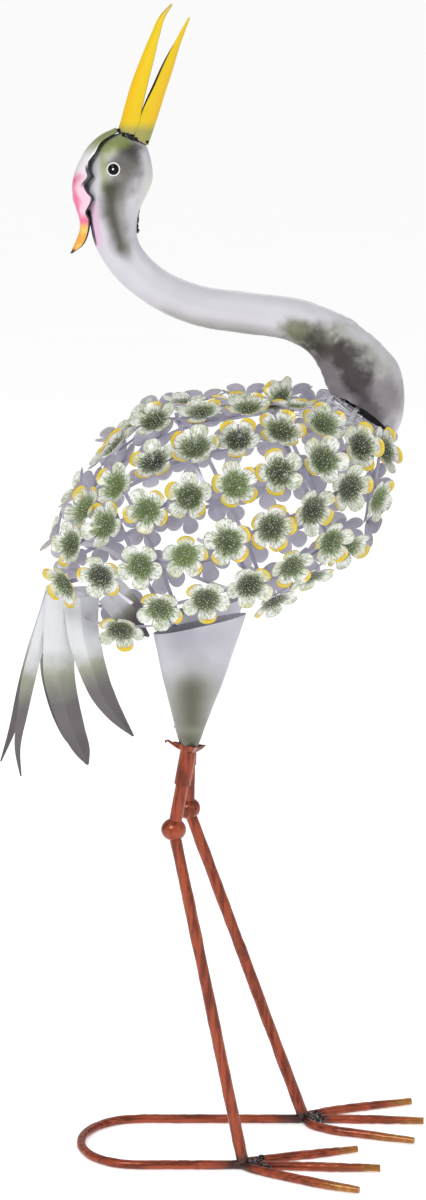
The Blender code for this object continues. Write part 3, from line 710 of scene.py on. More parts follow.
fit(cage, [strip_silver], [])

# Flowers: five cupped petals pressed from one piece of sheet, welded to the strips in rows. Pale
# green enamel with fine veins, a dark fuzzy heart with stamped stamens, and amber on the rims of
# some petals; the backs are plain grey.

FLOWER_RADIUS = 0.0205
PETALS = 5
PETAL_HALF_ANGLE = 35.2
SLIT_ROOT = 0.42
HALF_COLUMNS = (0.18, 0.37, 0.55, 0.71, 0.84, 0.93, 0.98, 1.0)
PETAL_COLUMNS = (*(-column for column in reversed(HALF_COLUMNS)), 0.0, *HALF_COLUMNS)
HEART_RINGS = (0.12, 0.27, 0.42)
PETAL_RINGS = (0.28, 0.54, 0.74, 0.88, 0.95, 1.0)
PETAL_SHEET = 0.0006
CUP_DEPTH = 0.0050
EDGE_CURL = 0.0042
HEART_DIMPLE = 0.0012
LIP_RISE = 0.0009
STAND_OFF = 0.0022
STAMENS = 46
STAMENS_REACH = 0.50
STAMEN_ROOT = 0.0003
STAMEN_HALF_WIDTH = 0.00026
STAMEN_SPREAD = 0.00040
STAMEN_HEIGHT = 0.0004
STAMEN_GROWTH = 0.0006
GOLDEN_ANGLE = 2.39996
FLOWER_ROWS = {
    "back": {"around": 0.0, "twist": 0.0, "shares": (-0.82, 0.57), "flowers": 7,
             "rises": (-0.75, -0.55, -0.30)},
    "upper": {"around": 23.0, "twist": 13.0, "shares": (-0.30, 0.61), "flowers": 5, "lift": ROW_LIFT},
    "shoulder": {"around": 48.0, "twist": 11.0, "shares": (-0.58, 0.72), "flowers": 7},
    "side": {"around": 72.5, "twist": 16.0, "shares": (-0.70, 0.83), "flowers": 8, "lift": ROW_LIFT},
    "flank": {"around": 99.0, "twist": 13.0, "shares": (-0.84, 0.71), "flowers": 8},
    "belly": {"around": 125.5, "twist": 10.0, "shares": (-0.43, 0.50), "flowers": 5, "lift": ROW_LIFT,
              "lean": 0.35},
    "rim_front": {"around": 154.0, "twist": 0.0, "shares": (0.10, 0.56), "flowers": 3, "lean": 0.25},
    "rim_rear": {"around": 143.0, "twist": 0.0, "shares": (-0.868, -0.43), "flowers": 1, "lean": 0.75},
    "breast": {"through": ((0.83, 90.0), (0.945, 112.0), (0.81, 143.0), (0.71, 180.0), (0.81, 217.0),
                           (0.945, 248.0), (0.83, 270.0))},
}
LONE_FLOWER_AT = -0.70
ROW_STEPS = 120
BEND_STEPS = 20
FLOWER_WOBBLE = 0.17

petal_front = Finish("petal_enamel", roughness=0.30, metallic=0.05, coat=0.22)
petal_map = petal_front.node("ShaderNodeAttribute", {"attribute_name": "petal"}, output="Color")
reach = petal_front.node("ShaderNodeSeparateColor", None, {"Color": petal_map}, "Red")
across = Wire(petal_front, reach.socket.node.outputs["Green"])
amber = Wire(petal_front, reach.socket.node.outputs["Blue"])
tone = Wire(petal_front, petal_map.socket.node.outputs["Alpha"])
# Stamen weight: pale paint on the stamped stamens, strongest at their tips, where it is a painted glint.
stamen_paint_and_glint = petal_front.node("ShaderNodeAttribute", {"attribute_name": "stamen_paint_and_glint"}, output="Fac")
fuzz = petal_front.grain(560.0, 4.0)
wash = petal_front.grain(90.0)
fan = petal_front.node("ShaderNodeCombineXYZ", None, {"X": across * 7.0, "Y": reach * 2.2, "Z": tone * 40.0})
vein = petal_front.node("ShaderNodeTexNoise", None, {"Vector": fan, "Scale": 2.6, "Detail": 5.0})
specks = petal_front.node("ShaderNodeTexVoronoi", None, {"Vector": petal_front.place, "Scale": 560.0})
gilt = petal_front.fade(reach, 0.45, 0.95) * petal_front.fade(amber, 1.05, 1.5)
green_ring = petal_front.fade(reach + vein * 0.5 - 0.25, 0.80, 0.46)
heart_edge = petal_front.fade(reach + vein * 0.50 + fuzz * 0.40 - 0.45, 0.77, 0.40)
heart_green = petal_front.mix(tone, (0.115, 0.170, 0.035), (0.040, 0.046, 0.022))
heart_dark = petal_front.fade(reach + fuzz * 0.40 - 0.20, 0.58, 0.14)
stipple = petal_front.fade(specks, 0.38, 0.14) * petal_front.fade(reach, 0.66, 0.46)
amber_reach = reach + vein * 0.18 + wash * 0.14 - 0.16
amber_edge = petal_front.fade(amber_reach + (1.0 - amber) * 0.06, 0.83, 0.91)
amber_edge = amber_edge * petal_front.fade(amber, 0.10, 0.80)
amber_tone = petal_front.fade(amber_reach, 0.84, 0.94)
amber_colour = petal_front.mix(amber_tone, (0.52, 0.23, 0.008), (0.74, 0.56, 0.030))
petal_colour = petal_front.coats(
    petal_front.mix(petal_front.fade(wash, 0.35, 0.65), (0.76, 0.775, 0.735), (0.55, 0.59, 0.47)),
    (petal_front.fade(vein, 0.50, 0.38) * 0.62, (0.22, 0.27, 0.15)),
    (petal_front.fade(vein, 0.54, 0.66) * 0.55, (0.90, 0.92, 0.86)),
    (gilt * 0.85, (0.62, 0.52, 0.06)),
    (green_ring * 0.42, (0.28, 0.34, 0.14)),
    (heart_edge * 0.94, heart_green),
    (heart_dark * (0.15 + tone * 0.80), (0.010, 0.014, 0.007)),
    (stipple * 0.62, (0.56, 0.64, 0.44)),
    (amber_edge, amber_colour),
    # Thin dark line on the petal rims: partly the rim's own dark edge, partly painted shadow of the edge.
    (petal_front.fade(reach, 0.972, 0.99) * 0.65, (0.20, 0.20, 0.085)),
    # pale stamens, partly their own paint and partly painted glints
    (stamen_paint_and_glint, (0.86, 0.92, 0.74)))
petal_front.wear("Base Color", petal_colour)
petal_front.wear("Roughness", 0.24 + fuzz * 0.2)
petal_front.dent(vein * 0.8 + fuzz * heart_edge * 0.9 + stipple * 0.35, 0.55, 0.0007)

petal_back = Finish("grey_petal_back", roughness=0.48, metallic=0.08)
petal_back.clouded(80.0, (0.45, 0.43, 0.51), (0.64, 0.62, 0.70), 400.0, 0.25, 0.0005)


def petal_reach(share):
    """How far a petal reaches at a share of its half angle: 1 at its tip, the slit root at its sides."""
    return SLIT_ROOT + (1.0 - SLIT_ROOT) * math.sqrt(max(0.0, 1.0 - abs(share) ** 2.5))


def flower(mesh, centre, normal, forward, chance, gold_share):
    """Presses one flower into the mesh at a place on the cage; returns the places of its stamens."""
    petal_layer = mesh.verts.layers.float_color["petal"]
    side = normal.cross(forward)
    radius = FLOWER_RADIUS * chance.uniform(0.94, 1.04)
    spin = chance.uniform(0.0, 2 * math.pi)
    tone_of_flower = chance.random() ** 0.6
    depth = chance.uniform(0.80, 1.20)

    def point(angle, reach, share, lean):
        cup = CUP_DEPTH * reach ** 1.6 + EDGE_CURL * share ** 2 * max(0.0, reach - SLIT_ROOT)
        heart = -HEART_DIMPLE * max(0.0, 1.0 - (reach / 0.40) ** 2)
        lip = LIP_RISE * max(0.0, (reach - 0.88) / 0.12)
        spoke = forward * math.cos(angle) + side * math.sin(angle)
        rise = STAND_OFF + (cup + heart + lip) * depth + lean * max(0.0, reach - 0.35)
        return centre + spoke * radius * reach + normal * rise

    heart = mesh.verts.new(point(0.0, 0.0, 0.0, 0.0))
    heart[petal_layer] = (0.0, 0.0, 0.0, tone_of_flower)
    rings = []
    for petal in range(PETALS):
        gold = chance.choice((0.35, 1.0, 1.0, 1.4)) if chance.random() < gold_share else 0.0
        gold_side = chance.uniform(-1.1, 1.1)
        middle = spin + 2 * math.pi * petal / PETALS
        lean = chance.uniform(-0.0024, 0.0040)
        for column in PETAL_COLUMNS:
            angle = middle + math.radians(PETAL_HALF_ANGLE * column)
            line = []
            reaches = list(HEART_RINGS)
            outer = petal_reach(column)
            if abs(column) < 1.0:
                reaches += [SLIT_ROOT + (outer - SLIT_ROOT) * ring for ring in PETAL_RINGS]
            for number, amount in enumerate(reaches):
                vertex = mesh.verts.new(point(angle, amount, column, lean))
                if number < len(HEART_RINGS):
                    shade = amount
                else:
                    shade = SLIT_ROOT + (1.0 - SLIT_ROOT) * PETAL_RINGS[number - len(HEART_RINGS)]
                    shade = 0.35 * amount + 0.65 * shade if outer > 0.7 else amount
                gilding = gold * max(0.0, 1.0 - 0.55 * abs(column - gold_side) ** 1.5)
                vertex[petal_layer] = (shade, column * 0.5 + 0.5 + petal, gilding, tone_of_flower)
                line.append(vertex)
            rings.append(line)
    count = len(rings)
    for index in range(count):
        first, second = rings[index], rings[(index + 1) % count]
        mesh.faces.new((heart, first[0], second[0]))
        for level in range(len(HEART_RINGS) - 1):
            mesh.faces.new((first[level], first[level + 1], second[level + 1], second[level]))
        last = len(HEART_RINGS) - 1
        if len(first) > len(HEART_RINGS) and len(second) > len(HEART_RINGS):
            for level in range(last, len(first) - 1):
                mesh.faces.new((first[level], first[level + 1], second[level + 1], second[level]))
        elif len(first) > len(HEART_RINGS) or len(second) > len(HEART_RINGS):
            longer, root = (first, second[last]) if len(first) > len(second) else (second, first[last])
            for level in range(last, len(longer) - 1):
                pair = (longer[level], longer[level + 1], root)
                mesh.faces.new(pair if longer is first else pair[::-1])
    places = []
    for number in range(STAMENS):
        amount = STAMENS_REACH * math.sqrt((number + 0.6) / STAMENS) * chance.uniform(0.92, 1.08)
        angle = number * GOLDEN_ANGLE + spin
        place = point(angle, amount, 0.0, 0.0)
        places.append((place, normal, forward, side, tone_of_flower, chance.random()))
    return places


def stamen_dots(places):
    """Small raised points stamped over the hearts of the flowers."""
    mesh = bmesh.new()
    petal_layer = mesh.verts.layers.float_color.new("petal")
    stamen_layer = mesh.verts.layers.float.new("stamen_paint_and_glint")
    for place, normal, forward, side, tone_of_flower, size in places:
        half_width = STAMEN_HALF_WIDTH + STAMEN_SPREAD * size ** 2
        rim = []
        for corner in range(4):
            angle = math.pi * corner / 2
            spoke = forward * math.cos(angle) + side * math.sin(angle)
            rim.append(mesh.verts.new(place + spoke * half_width - normal * STAMEN_ROOT))
        top = mesh.verts.new(place + normal * (STAMEN_HEIGHT + STAMEN_GROWTH * size))
        for vertex in rim:
            vertex[petal_layer] = (0.2, 0.0, 0.0, tone_of_flower)
            vertex[stamen_layer] = 0.1
        top[petal_layer] = (0.2, 0.0, 0.0, tone_of_flower)
        # The tips take the most of the pale colour: a painted glint on each stamen.
        top[stamen_layer] = 0.4 + 1.1 * size
        for corner in range(4):
            mesh.faces.new((rim[corner], rim[(corner + 1) % 4], top))
        mesh.faces.new(rim[::-1])
    return mesh


def row_line(row):
    """The row's path over the cage, and the steps of it where its flowers sit."""
    path = []
    if "through" in row:
        for (along, around), (next_along, next_around) in zip(row["through"], row["through"][1:]):
            for step in range(BEND_STEPS):
                share = step / BEND_STEPS
                path.append((along + (next_along - along) * share,
                             math.radians(around + (next_around - around) * share)))
        path.append((row["through"][-1][0], math.radians(row["through"][-1][1])))
        return path, [BEND_STEPS * bend for bend in range(1, len(row["through"]) - 1)]
    start, end = row["shares"]
    for step in range(ROW_STEPS + 1):
        along = start + (end - start) * step / ROW_STEPS
        path.append((along, math.radians(row["around"] + row["twist"] * along)))
    lengths = [0.0]
    for before, after in zip(path, path[1:]):
        lengths.append(lengths[-1] + (egg_point(*after) - egg_point(*before)).length)
    if row["flowers"] == 1:
        marks = [lengths[round(ROW_STEPS * (LONE_FLOWER_AT - start) / (end - start))]]
    else:
        marks = [lengths[-1] * number / (row["flowers"] - 1) for number in range(row["flowers"])]
    return path, [min(range(ROW_STEPS + 1), key=lambda index: abs(lengths[index] - mark)) for mark in marks]


def flower_row(name, row, sign, seed):
    """The flowers of a row with the strip that they are welded to."""
    path, places = row_line(row)
    lift = row.get("lift", 0.0)
    chance = random.Random(seed)
    mesh = bmesh.new()
    mesh.verts.layers.float_color.new("petal")
    dots = []
    for index in places:
        along, around = path[index]
        normal = egg_normal(along, around)
        centre = egg_point(along, around) + normal * (lift + chance.uniform(0.0, 0.0010))
        ahead = egg_point(*path[min(index + 1, len(path) - 1)]) - egg_point(*path[max(index - 1, 0)])
        tilt = Vector((chance.uniform(-1, 1), chance.uniform(-1, 1), chance.uniform(-1, 1)))
        tilt = tilt * FLOWER_WOBBLE
        if index == places[-1] and "rises" in row:
            tilt = Vector(row["rises"])
        normal = (normal + tilt + Vector((0.0, -row.get("lean", 0.0), 0.0))).normalized()
        forward = (ahead - normal * ahead.dot(normal)).normalized()
        flip = Vector((1.0, sign, 1.0))
        normal, forward, centre = normal * flip, forward * flip, centre * flip
        dots += flower(mesh, centre, normal, forward, chance, 0.58 + 0.35 * max(0.0, along))
    bmesh.ops.remove_doubles(mesh, verts=mesh.verts, dist=0.00001)
    item = from_mesh(name, [mesh], petal_front, petal_back, strip_grey)
    thicken(item, PETAL_SHEET, inside=1)
    stamens = from_mesh(name + "_stamens", [stamen_dots(dots)], petal_front)
    band = from_mesh(name + "_strip", [strip(path[::4], STRIP_WIDTH, lift, sign)], strip_grey)
    join([item, stamens, band])
    return item


seed = 20
for name, row in FLOWER_ROWS.items():
    for side, sign in (("near", 1.0), ("far", -1.0)):
        seed += 1
        single = name in ("back", "breast")
        if single and side == "far":
            continue
        label = name if single else "%s_%s" % (name, side)
        fit(flower_row("flowers_" + label, row, sign, seed), [], ["flower_row_" + label])

# Neck and head: one shell of beaten sheet, narrow up the S of the neck and swelling at breast and
# head. Lilac-white paint, airbrushed olive and smoke grey round the eye, behind the cheek and on
# the hammered breast. A painted highlight runs down the front of the head, painted shade darkens
# the shell near its mouth, and its inside is near-black painted shade.

HEAD_SECTIONS = (
    (-0.0798, 0.8950, -0.0588, 0.8848),
    (-0.0875, 0.8922, -0.0573, 0.8818),
    (-0.0978, 0.8850, -0.0548, 0.8737),
    (-0.1052, 0.8740, -0.0530, 0.8645),
    (-0.1090, 0.8615, -0.0533, 0.8558),
    (-0.1108, 0.8492, -0.0568, 0.8465),
)
NECK_KNOTS = (
    (-0.0855, 0.8280, 0.0210),
    (-0.0835, 0.8050, 0.0178),
    (-0.0740, 0.7880, 0.0163),
    (-0.0520, 0.7680, 0.0158),
    (-0.0200, 0.7530, 0.0166),
    (0.0230, 0.7455, 0.0173),
    (0.0620, 0.7400, 0.0178),
    (0.0890, 0.7290, 0.0205),
    (0.1090, 0.7105, 0.0262),
    (0.1245, 0.6880, 0.0318),
    (0.1280, 0.6620, 0.0300),
    (0.1240, 0.6380, 0.0250),
)
NECK_DEPTH = 0.86
HEAD_DEPTH = 0.72
HEAD_Z = 0.8650
NAPE_Z = 0.7880
MOUTH_POINT = Vector((0.1290, 0.0, 0.6555))
MOUTH_NORMAL = Vector((-0.56, 0.0, -0.83))
MOUTH_HALF_WIDTH = 0.026
MOUTH_SCOOP = 0.0085
MOUTH_LAP = -0.0050
SCOOP_REACH = 0.045
BREAST_START_X = 0.080
NECK_SIDES = 72
NECK_WALL = 0.0010

plumage = Finish("plumage_paint", roughness=0.36, metallic=0.12, coat=0.06)
haze = plumage.grain(22.0)
streaks = plumage.grain(55.0, 4.0)
under = plumage.stroke((-0.040, 0.735), (0.075, 0.712), 0.022, 0.0, haze, 0.5)
wash_olive = plumage.stroke((0.105, 0.727), (0.140, 0.700), 0.018, 0.0, streaks, 0.8)
olive = plumage.stroke((0.064, 0.7300), (0.092, 0.7240), 0.0165, 0.0, streaks, 1.6)
mauve = plumage.stroke((0.096, 0.700), (0.136, 0.672), 0.038, 0.25, streaks, 0.8)
umber_breast = plumage.stroke((0.080, 0.719), (0.113, 0.713), 0.0165, 0.05, streaks, 1.9)
umber_breast = umber_breast | plumage.stroke((0.104, 0.712), (0.119, 0.690), 0.0190, 0.20, streaks, 1.9)
# Dark stroke down to the mouth of the shell: painted shade of the hollow beneath it.
mouth_painted_shade = plumage.stroke((0.118, 0.690), (0.130, 0.664), 0.016, 0.1, streaks, 1.6)
cheek = plumage.spot((-0.0765, 0.0, 0.8725), (0.0235, 0.070, 0.033), 0.34, streaks, 0.9)
jaw = plumage.stroke((-0.0760, 0.862), (-0.0830, 0.845), 0.015, 0.0, streaks, 1.0)
smudge = plumage.spot((-0.0700, 0.0, 0.8810), (0.014, 0.060, 0.012), 0.10, streaks, 1.4)
brow = plumage.stroke((-0.091, 0.883), (-0.074, 0.892), 0.0105, 0.1, streaks, 0.8)
olive_edge = plumage.stroke((-0.0955, 0.886), (-0.0915, 0.850), 0.0075, 0.0, streaks, 0.5)
stripe = plumage.stroke((-0.0875, 0.849), (-0.0868, 0.830), 0.0140, 0.05, streaks, 0.6)
stripe = stripe | plumage.stroke((-0.0868, 0.830), (-0.0790, 0.802), 0.0130, 0.0, streaks, 0.6)
# Light band down the front edge of the head: a painted highlight.
front = plumage.stroke((-0.0528, 0.868), (-0.0600, 0.836), 0.0075, 0.0, streaks, 0.8)
nape_smoke = plumage.stroke((-0.0790, 0.842), (-0.0740, 0.795), 0.0090, 0.0, streaks, 1.0)
blush = plumage.stroke((-0.1030, 0.835), (-0.1000, 0.805), 0.0085, 0.1)
# Dark line on the neck along the crest's inner edge: partly dark outline, partly painted shadow of that
# edge.
crest_edge_line_and_shadow = plumage.stroke((-0.1068, 0.8300), (-0.1022, 0.8040), 0.0030, 0.6)
plume = plumage.coats(
    plumage.mix(haze, (0.50, 0.485, 0.53), (0.67, 0.655, 0.70)),
    (under * 0.55, (0.25, 0.25, 0.17)),
    (wash_olive * 0.55, (0.27, 0.29, 0.19)),
    (olive * 0.85, (0.125, 0.130, 0.050)),
    (mauve * 0.85, (0.165, 0.140, 0.155)),
    (umber_breast * 0.92, (0.038, 0.031, 0.026)),
    # painted shade near the mouth of the shell
    (mouth_painted_shade * 0.75, (0.060, 0.047, 0.056)),
    (cheek * 0.92, (0.090, 0.081, 0.076)),
    (jaw * 0.70, (0.150, 0.140, 0.120)),
    (smudge * 0.80, (0.035, 0.031, 0.026)),
    (brow * 0.8, (0.20, 0.25, 0.05)),
    (olive_edge * 0.75, (0.25, 0.30, 0.10)),
    (stripe * 0.94, (0.046, 0.043, 0.026)),
    # painted highlight down the front edge of the head
    (front * 0.65, (0.66, 0.66, 0.58)),
    (nape_smoke * 0.45, (0.20, 0.20, 0.17)),
    (blush * 0.6, (0.72, 0.38, 0.62)),
    # dark outline and painted shadow along the crest's inner edge
    (crest_edge_line_and_shadow * 0.85, (0.035, 0.034, 0.045)))
plumage.wear("Base Color", plume)
plumage.wear("Roughness", 0.27 + haze * 0.16)
plumage.dent(plumage.grain(240.0, 4.0) * 0.5 + streaks, 0.22, 0.0010)

# Near-black painted shade for the inside faces and cut rims of the shell, where the hollow lies in shade.
hollow_painted_shade = Finish("painted_shade_inside", roughness=0.6, metallic=0.3)
hollow_painted_shade.clouded(90.0, (0.020, 0.019, 0.020), (0.060, 0.057, 0.060), 300.0, 0.3, 0.0006)


def neck_ring(section):
    """Oval of the shell between its two points on the middle plane of the bird."""
    back = Vector((section[0], 0.0, section[1]))
    front = Vector((section[2], 0.0, section[3]))
    middle, half = (back + front) / 2, (front - back) / 2
    share = min(max((middle.z - NAPE_Z) / (HEAD_Z - NAPE_Z), 0.0), 1.0)
    depth = half.length * (NECK_DEPTH + (HEAD_DEPTH - NECK_DEPTH) * share)
    ring = []
    for number in range(NECK_SIDES):
        angle = 2 * math.pi * number / NECK_SIDES
        ring.append(middle + half * math.cos(angle) + Vector((0.0, depth * math.sin(angle), 0.0)))
    return ring


neck_sections = list(HEAD_SECTIONS)
for index, (x, z, radius) in enumerate(NECK_KNOTS):
    before, after = NECK_KNOTS[max(index - 1, 0)], NECK_KNOTS[min(index + 1, len(NECK_KNOTS) - 1)]
    heading = Vector((after[0] - before[0], after[1] - before[1])).normalized()
    across_x, across_z = -heading.y * radius, heading.x * radius
    neck_sections.append((x - across_x, z - across_z, x + across_x, z + across_z))
neck_run = flow(neck_sections, 0.0032, axes=4)
neck_mesh = bmesh.new()
neck_rows = [[neck_mesh.verts.new(point) for point in neck_ring(section)] for section in neck_run]
join_rows(neck_mesh, neck_rows, closed=True)
neck_mesh.faces.new(neck_rows[0])
bmesh.ops.recalc_face_normals(neck_mesh, faces=neck_mesh.faces)
neck = from_mesh("neck_shell", [neck_mesh], plumage, hollow_painted_shade)
at_breast = [vertex.co.x > BREAST_START_X for vertex in neck.data.vertices]
neck.data.vertices.foreach_set("select", at_breast)
for part in (*neck.data.edges, *neck.data.polygons):
    part.select = all(at_breast[index] for index in part.vertices)
bpy.ops.object.mode_set(mode="EDIT")
bpy.ops.mesh.bisect(plane_co=MOUTH_POINT, plane_no=MOUTH_NORMAL, clear_outer=True)
bpy.ops.object.mode_set(mode="OBJECT")
for vertex in neck.data.vertices:
    if vertex.co.x > BREAST_START_X:
        above = (vertex.co - MOUTH_POINT).dot(MOUTH_NORMAL) / MOUTH_NORMAL.z
        scoop = MOUTH_SCOOP if vertex.co.y < 0.0 else MOUTH_LAP
        vertex.co.z += scoop * (vertex.co.y / MOUTH_HALF_WIDTH) ** 2 * max(0.0, 1.0 - above / SCOOP_REACH)
beaten = neck.vertex_groups.new(name="breast")
for vertex in neck.data.vertices:
    x = vertex.co.x
    weight = min(max((x - 0.060) / 0.040, 0.0), 1.0) * min(max((0.150 - x) / 0.02, 0.0), 1.0)
    beaten.add([vertex.index], weight, "REPLACE")
hammer(neck, 0.0050, 0.0125, "breast")
hammer(neck, 0.0010, 0.0200)
# The inside faces and rims take the painted shade.
thicken(neck, NECK_WALL, inside=1, rim=1)
fit(neck, [], ["neck_and_head"], crease=50.0)

# Throat seam: the line where the shell's two edges meet under the head, soldered in a rough dark
# bead down the front of the throat.

SEAM_RADIUS = 0.0010
SEAM_PLACES = ((-0.0625, 0.8400), (-0.0642, 0.8345), (-0.0655, 0.8280), (-0.0660, 0.8190), (-0.0655, 0.8120))
seam_knots = [(x, 0.0, z, SEAM_RADIUS) for x, z in SEAM_PLACES]
seam_run = []
chance = random.Random(3)
for x, y, z, radius in flow(seam_knots, 0.0010):
    seam_run.append((x + chance.uniform(-0.0003, 0.0003), y + chance.uniform(-0.0004, 0.0004), z,
                     radius * chance.uniform(0.6, 1.2)))
seam = bar("throat_seam", seam_run, 8)
fit(seam, [weld], [], crease=60.0)

# Crest: a plate folded over the back of the head, its free edges cut in waves and edged near-black,
# partly a black outline and partly painted shadow of the gap under them, and its tail curling out
# behind the neck. Olive, white, rose and amber run down it.

CREST_KNOTS = (
    (-0.0835, 0.8985, -0.0818, 0.8955, 0.0062),
    (-0.0960, 0.8925, -0.0945, 0.8875, 0.0105),
    (-0.1065, 0.8830, -0.0990, 0.8790, 0.0135),
    (-0.1135, 0.8715, -0.1048, 0.8705, 0.0155),
    (-0.1162, 0.8655, -0.1040, 0.8650, 0.0165),
    (-0.1180, 0.8600, -0.1012, 0.8605, 0.0175),
    (-0.1200, 0.8500, -0.1080, 0.8520, 0.0170),
    (-0.1198, 0.8450, -0.1050, 0.8468, 0.0172),
    (-0.1195, 0.8400, -0.1012, 0.8430, 0.0172),
    (-0.1180, 0.8355, -0.1032, 0.8375, 0.0155),
    (-0.1165, 0.8310, -0.1072, 0.8315, 0.0130),
    (-0.1140, 0.8220, -0.1052, 0.8235, 0.0085),
    (-0.1140, 0.8150, -0.1062, 0.8145, 0.0055),
    (-0.1170, 0.8060, -0.1100, 0.8040, 0.0036),
    (-0.1220, 0.7950, -0.1200, 0.7955, 0.0008),
)
FOLD_COLUMNS = 12
PLATE = 0.0009

crest_paint = Finish("crest_enamel", roughness=0.28, metallic=0.05, coat=0.25)
across_fold = crest_paint.node("ShaderNodeAttribute", {"attribute_name": "edge"}, output="Fac")
height = crest_paint.node("ShaderNodeSeparateXYZ", None, {"Vector": crest_paint.place}, "Z")
crest_cloud = crest_paint.grain(70.0)
level = height + crest_cloud * 0.006 - 0.003
rose = crest_paint.fade(level, 0.867, 0.856)
pale = crest_paint.fade(across_fold + crest_cloud * 0.5 - 0.25, 0.30, 0.62)
pale = pale * crest_paint.fade(level, 0.822, 0.832) * crest_paint.fade(level, 0.876, 0.866)
amber_tail = crest_paint.fade(level, 0.824, 0.814)
# Dark grey band just inside the wavy edge, low on the crest: painted shadow of the gap under the edge.
painted_shadow_lobe = crest_paint.fade(height, 0.871, 0.866) * crest_paint.fade(height, 0.850, 0.855)
crest_colour = crest_paint.coats(
    crest_paint.mix(crest_paint.fade(level, 0.890, 0.874), (0.22, 0.25, 0.10), (0.70, 0.69, 0.70)),
    (rose, (0.76, 0.12, 0.27)),
    (pale * 0.75, (0.80, 0.66, 0.76)),
    (amber_tail, (0.80, 0.36, 0.06)),
    (amber_tail * crest_paint.fade(crest_cloud, 0.45, 0.62), (0.80, 0.55, 0.12)),
    (crest_paint.fade(level, 0.800, 0.797), (0.06, 0.035, 0.02)),
    # painted shadow of the gap under the crest's edge
    (crest_paint.fade(across_fold, 0.74, 0.78) * painted_shadow_lobe, (0.075, 0.080, 0.088)),
    # Near-black band on the free edges: partly black outline, partly painted shadow of the edge.
    (crest_paint.fade(across_fold, 0.86, 0.92), (0.014, 0.014, 0.017)))
crest_paint.wear("Base Color", crest_colour)
crest_paint.wear("Roughness", 0.22 + crest_cloud * 0.16)
crest_paint.dent(crest_cloud + crest_paint.grain(400.0, 2.0) * 0.05, 0.3, 0.0025)


def folded(name, knots, step, finishes, heart, bulge, far_slip=0.0):
    """Sheet folded along its outer edge, its first finish facing away from a place in the fold.

    The layer edge runs 0 at the fold to 1 at the free edges; the far one of these may stand out past
    the near one by a slip at the middle of its length.
    """
    mesh = bmesh.new()
    edge_layer = mesh.verts.layers.float.new("edge")
    rows = []
    run = flow(knots, step, axes=2)
    for index, (outer_x, outer_z, inner_x, inner_z, spread) in enumerate(run):
        slip = far_slip * max(0.0, math.sin(math.pi * (index / (len(run) - 1) * 1.5 - 0.15)))
        row = []
        for column in range(-FOLD_COLUMNS, FOLD_COLUMNS + 1):
            share = abs(column) / FOLD_COLUMNS
            width = math.copysign(math.sin(share * math.pi / 2) ** bulge, column) if column else 0.0
            reach = 0.35 * share + 0.65 * (1.0 - math.cos(share * math.pi / 2))
            stand = 1.0 + (slip / math.dist((outer_x, outer_z), (inner_x, inner_z)) if column > 0 else 0.0)
            vertex = mesh.verts.new((outer_x + (inner_x - outer_x) * reach * stand, spread * width,
                                     outer_z + (inner_z - outer_z) * reach * stand))
            vertex[edge_layer] = share
            row.append(vertex)
        rows.append(row)
    join_rows(mesh, rows)
    bmesh.ops.recalc_face_normals(mesh, faces=mesh.faces)
    item = from_mesh(name, [mesh], *finishes)
    outward = sum((face.center - heart).dot(face.normal) * face.area for face in item.data.polygons)
    if outward < 0.0:
        bpy.ops.object.mode_set(mode="EDIT")
        bpy.ops.mesh.select_all(action="SELECT")
        bpy.ops.mesh.flip_normals()
        bpy.ops.object.mode_set(mode="OBJECT")
    thicken(item, PLATE, 0.0, 1, 1)
    return item


crest_inner = Finish("crest_underside", roughness=0.5, metallic=0.3)
crest_inner.clouded(120.0, (0.045, 0.048, 0.054), (0.12, 0.125, 0.135), 300.0, 0.3, 0.0006)
crest = folded("crest_plate", CREST_KNOTS, 0.0012, [crest_paint, crest_inner],
               Vector((-0.095, 0.0, 0.855)), 0.82)
hammer(crest, 0.0006, 0.024)
fit(crest, [], ["crest"], crease=45.0)

# Beak: two long folded sheets, bright yellow outside and dark inside, soldered to the head with a
# rough dark bead.

UPPER_BEAK_KNOTS = (
    (-0.0815, 0.8965, -0.0680, 0.8935, 0.0085),
    (-0.0788, 0.9050, -0.0640, 0.9030, 0.0080),
    (-0.0755, 0.9170, -0.0615, 0.9150, 0.0072),
    (-0.0700, 0.9350, -0.0572, 0.9330, 0.0060),
    (-0.0622, 0.9550, -0.0520, 0.9530, 0.0045),
    (-0.0540, 0.9740, -0.0472, 0.9725, 0.0030),
    (-0.0460, 0.9900, -0.0422, 0.9885, 0.0018),
    (-0.0372, 0.9992, -0.0360, 0.9987, 0.0006),
)
LOWER_BEAK_KNOTS = (
    (-0.0572, 0.8845, -0.0682, 0.8915, 0.0085),
    (-0.0530, 0.8965, -0.0652, 0.9010, 0.0080),
    (-0.0490, 0.9080, -0.0606, 0.9140, 0.0070),
    (-0.0430, 0.9270, -0.0515, 0.9325, 0.0055),
    (-0.0366, 0.9460, -0.0430, 0.9515, 0.0040),
    (-0.0305, 0.9660, -0.0340, 0.9695, 0.0024),
    (-0.0222, 0.9880, -0.0232, 0.9885, 0.0006),
)

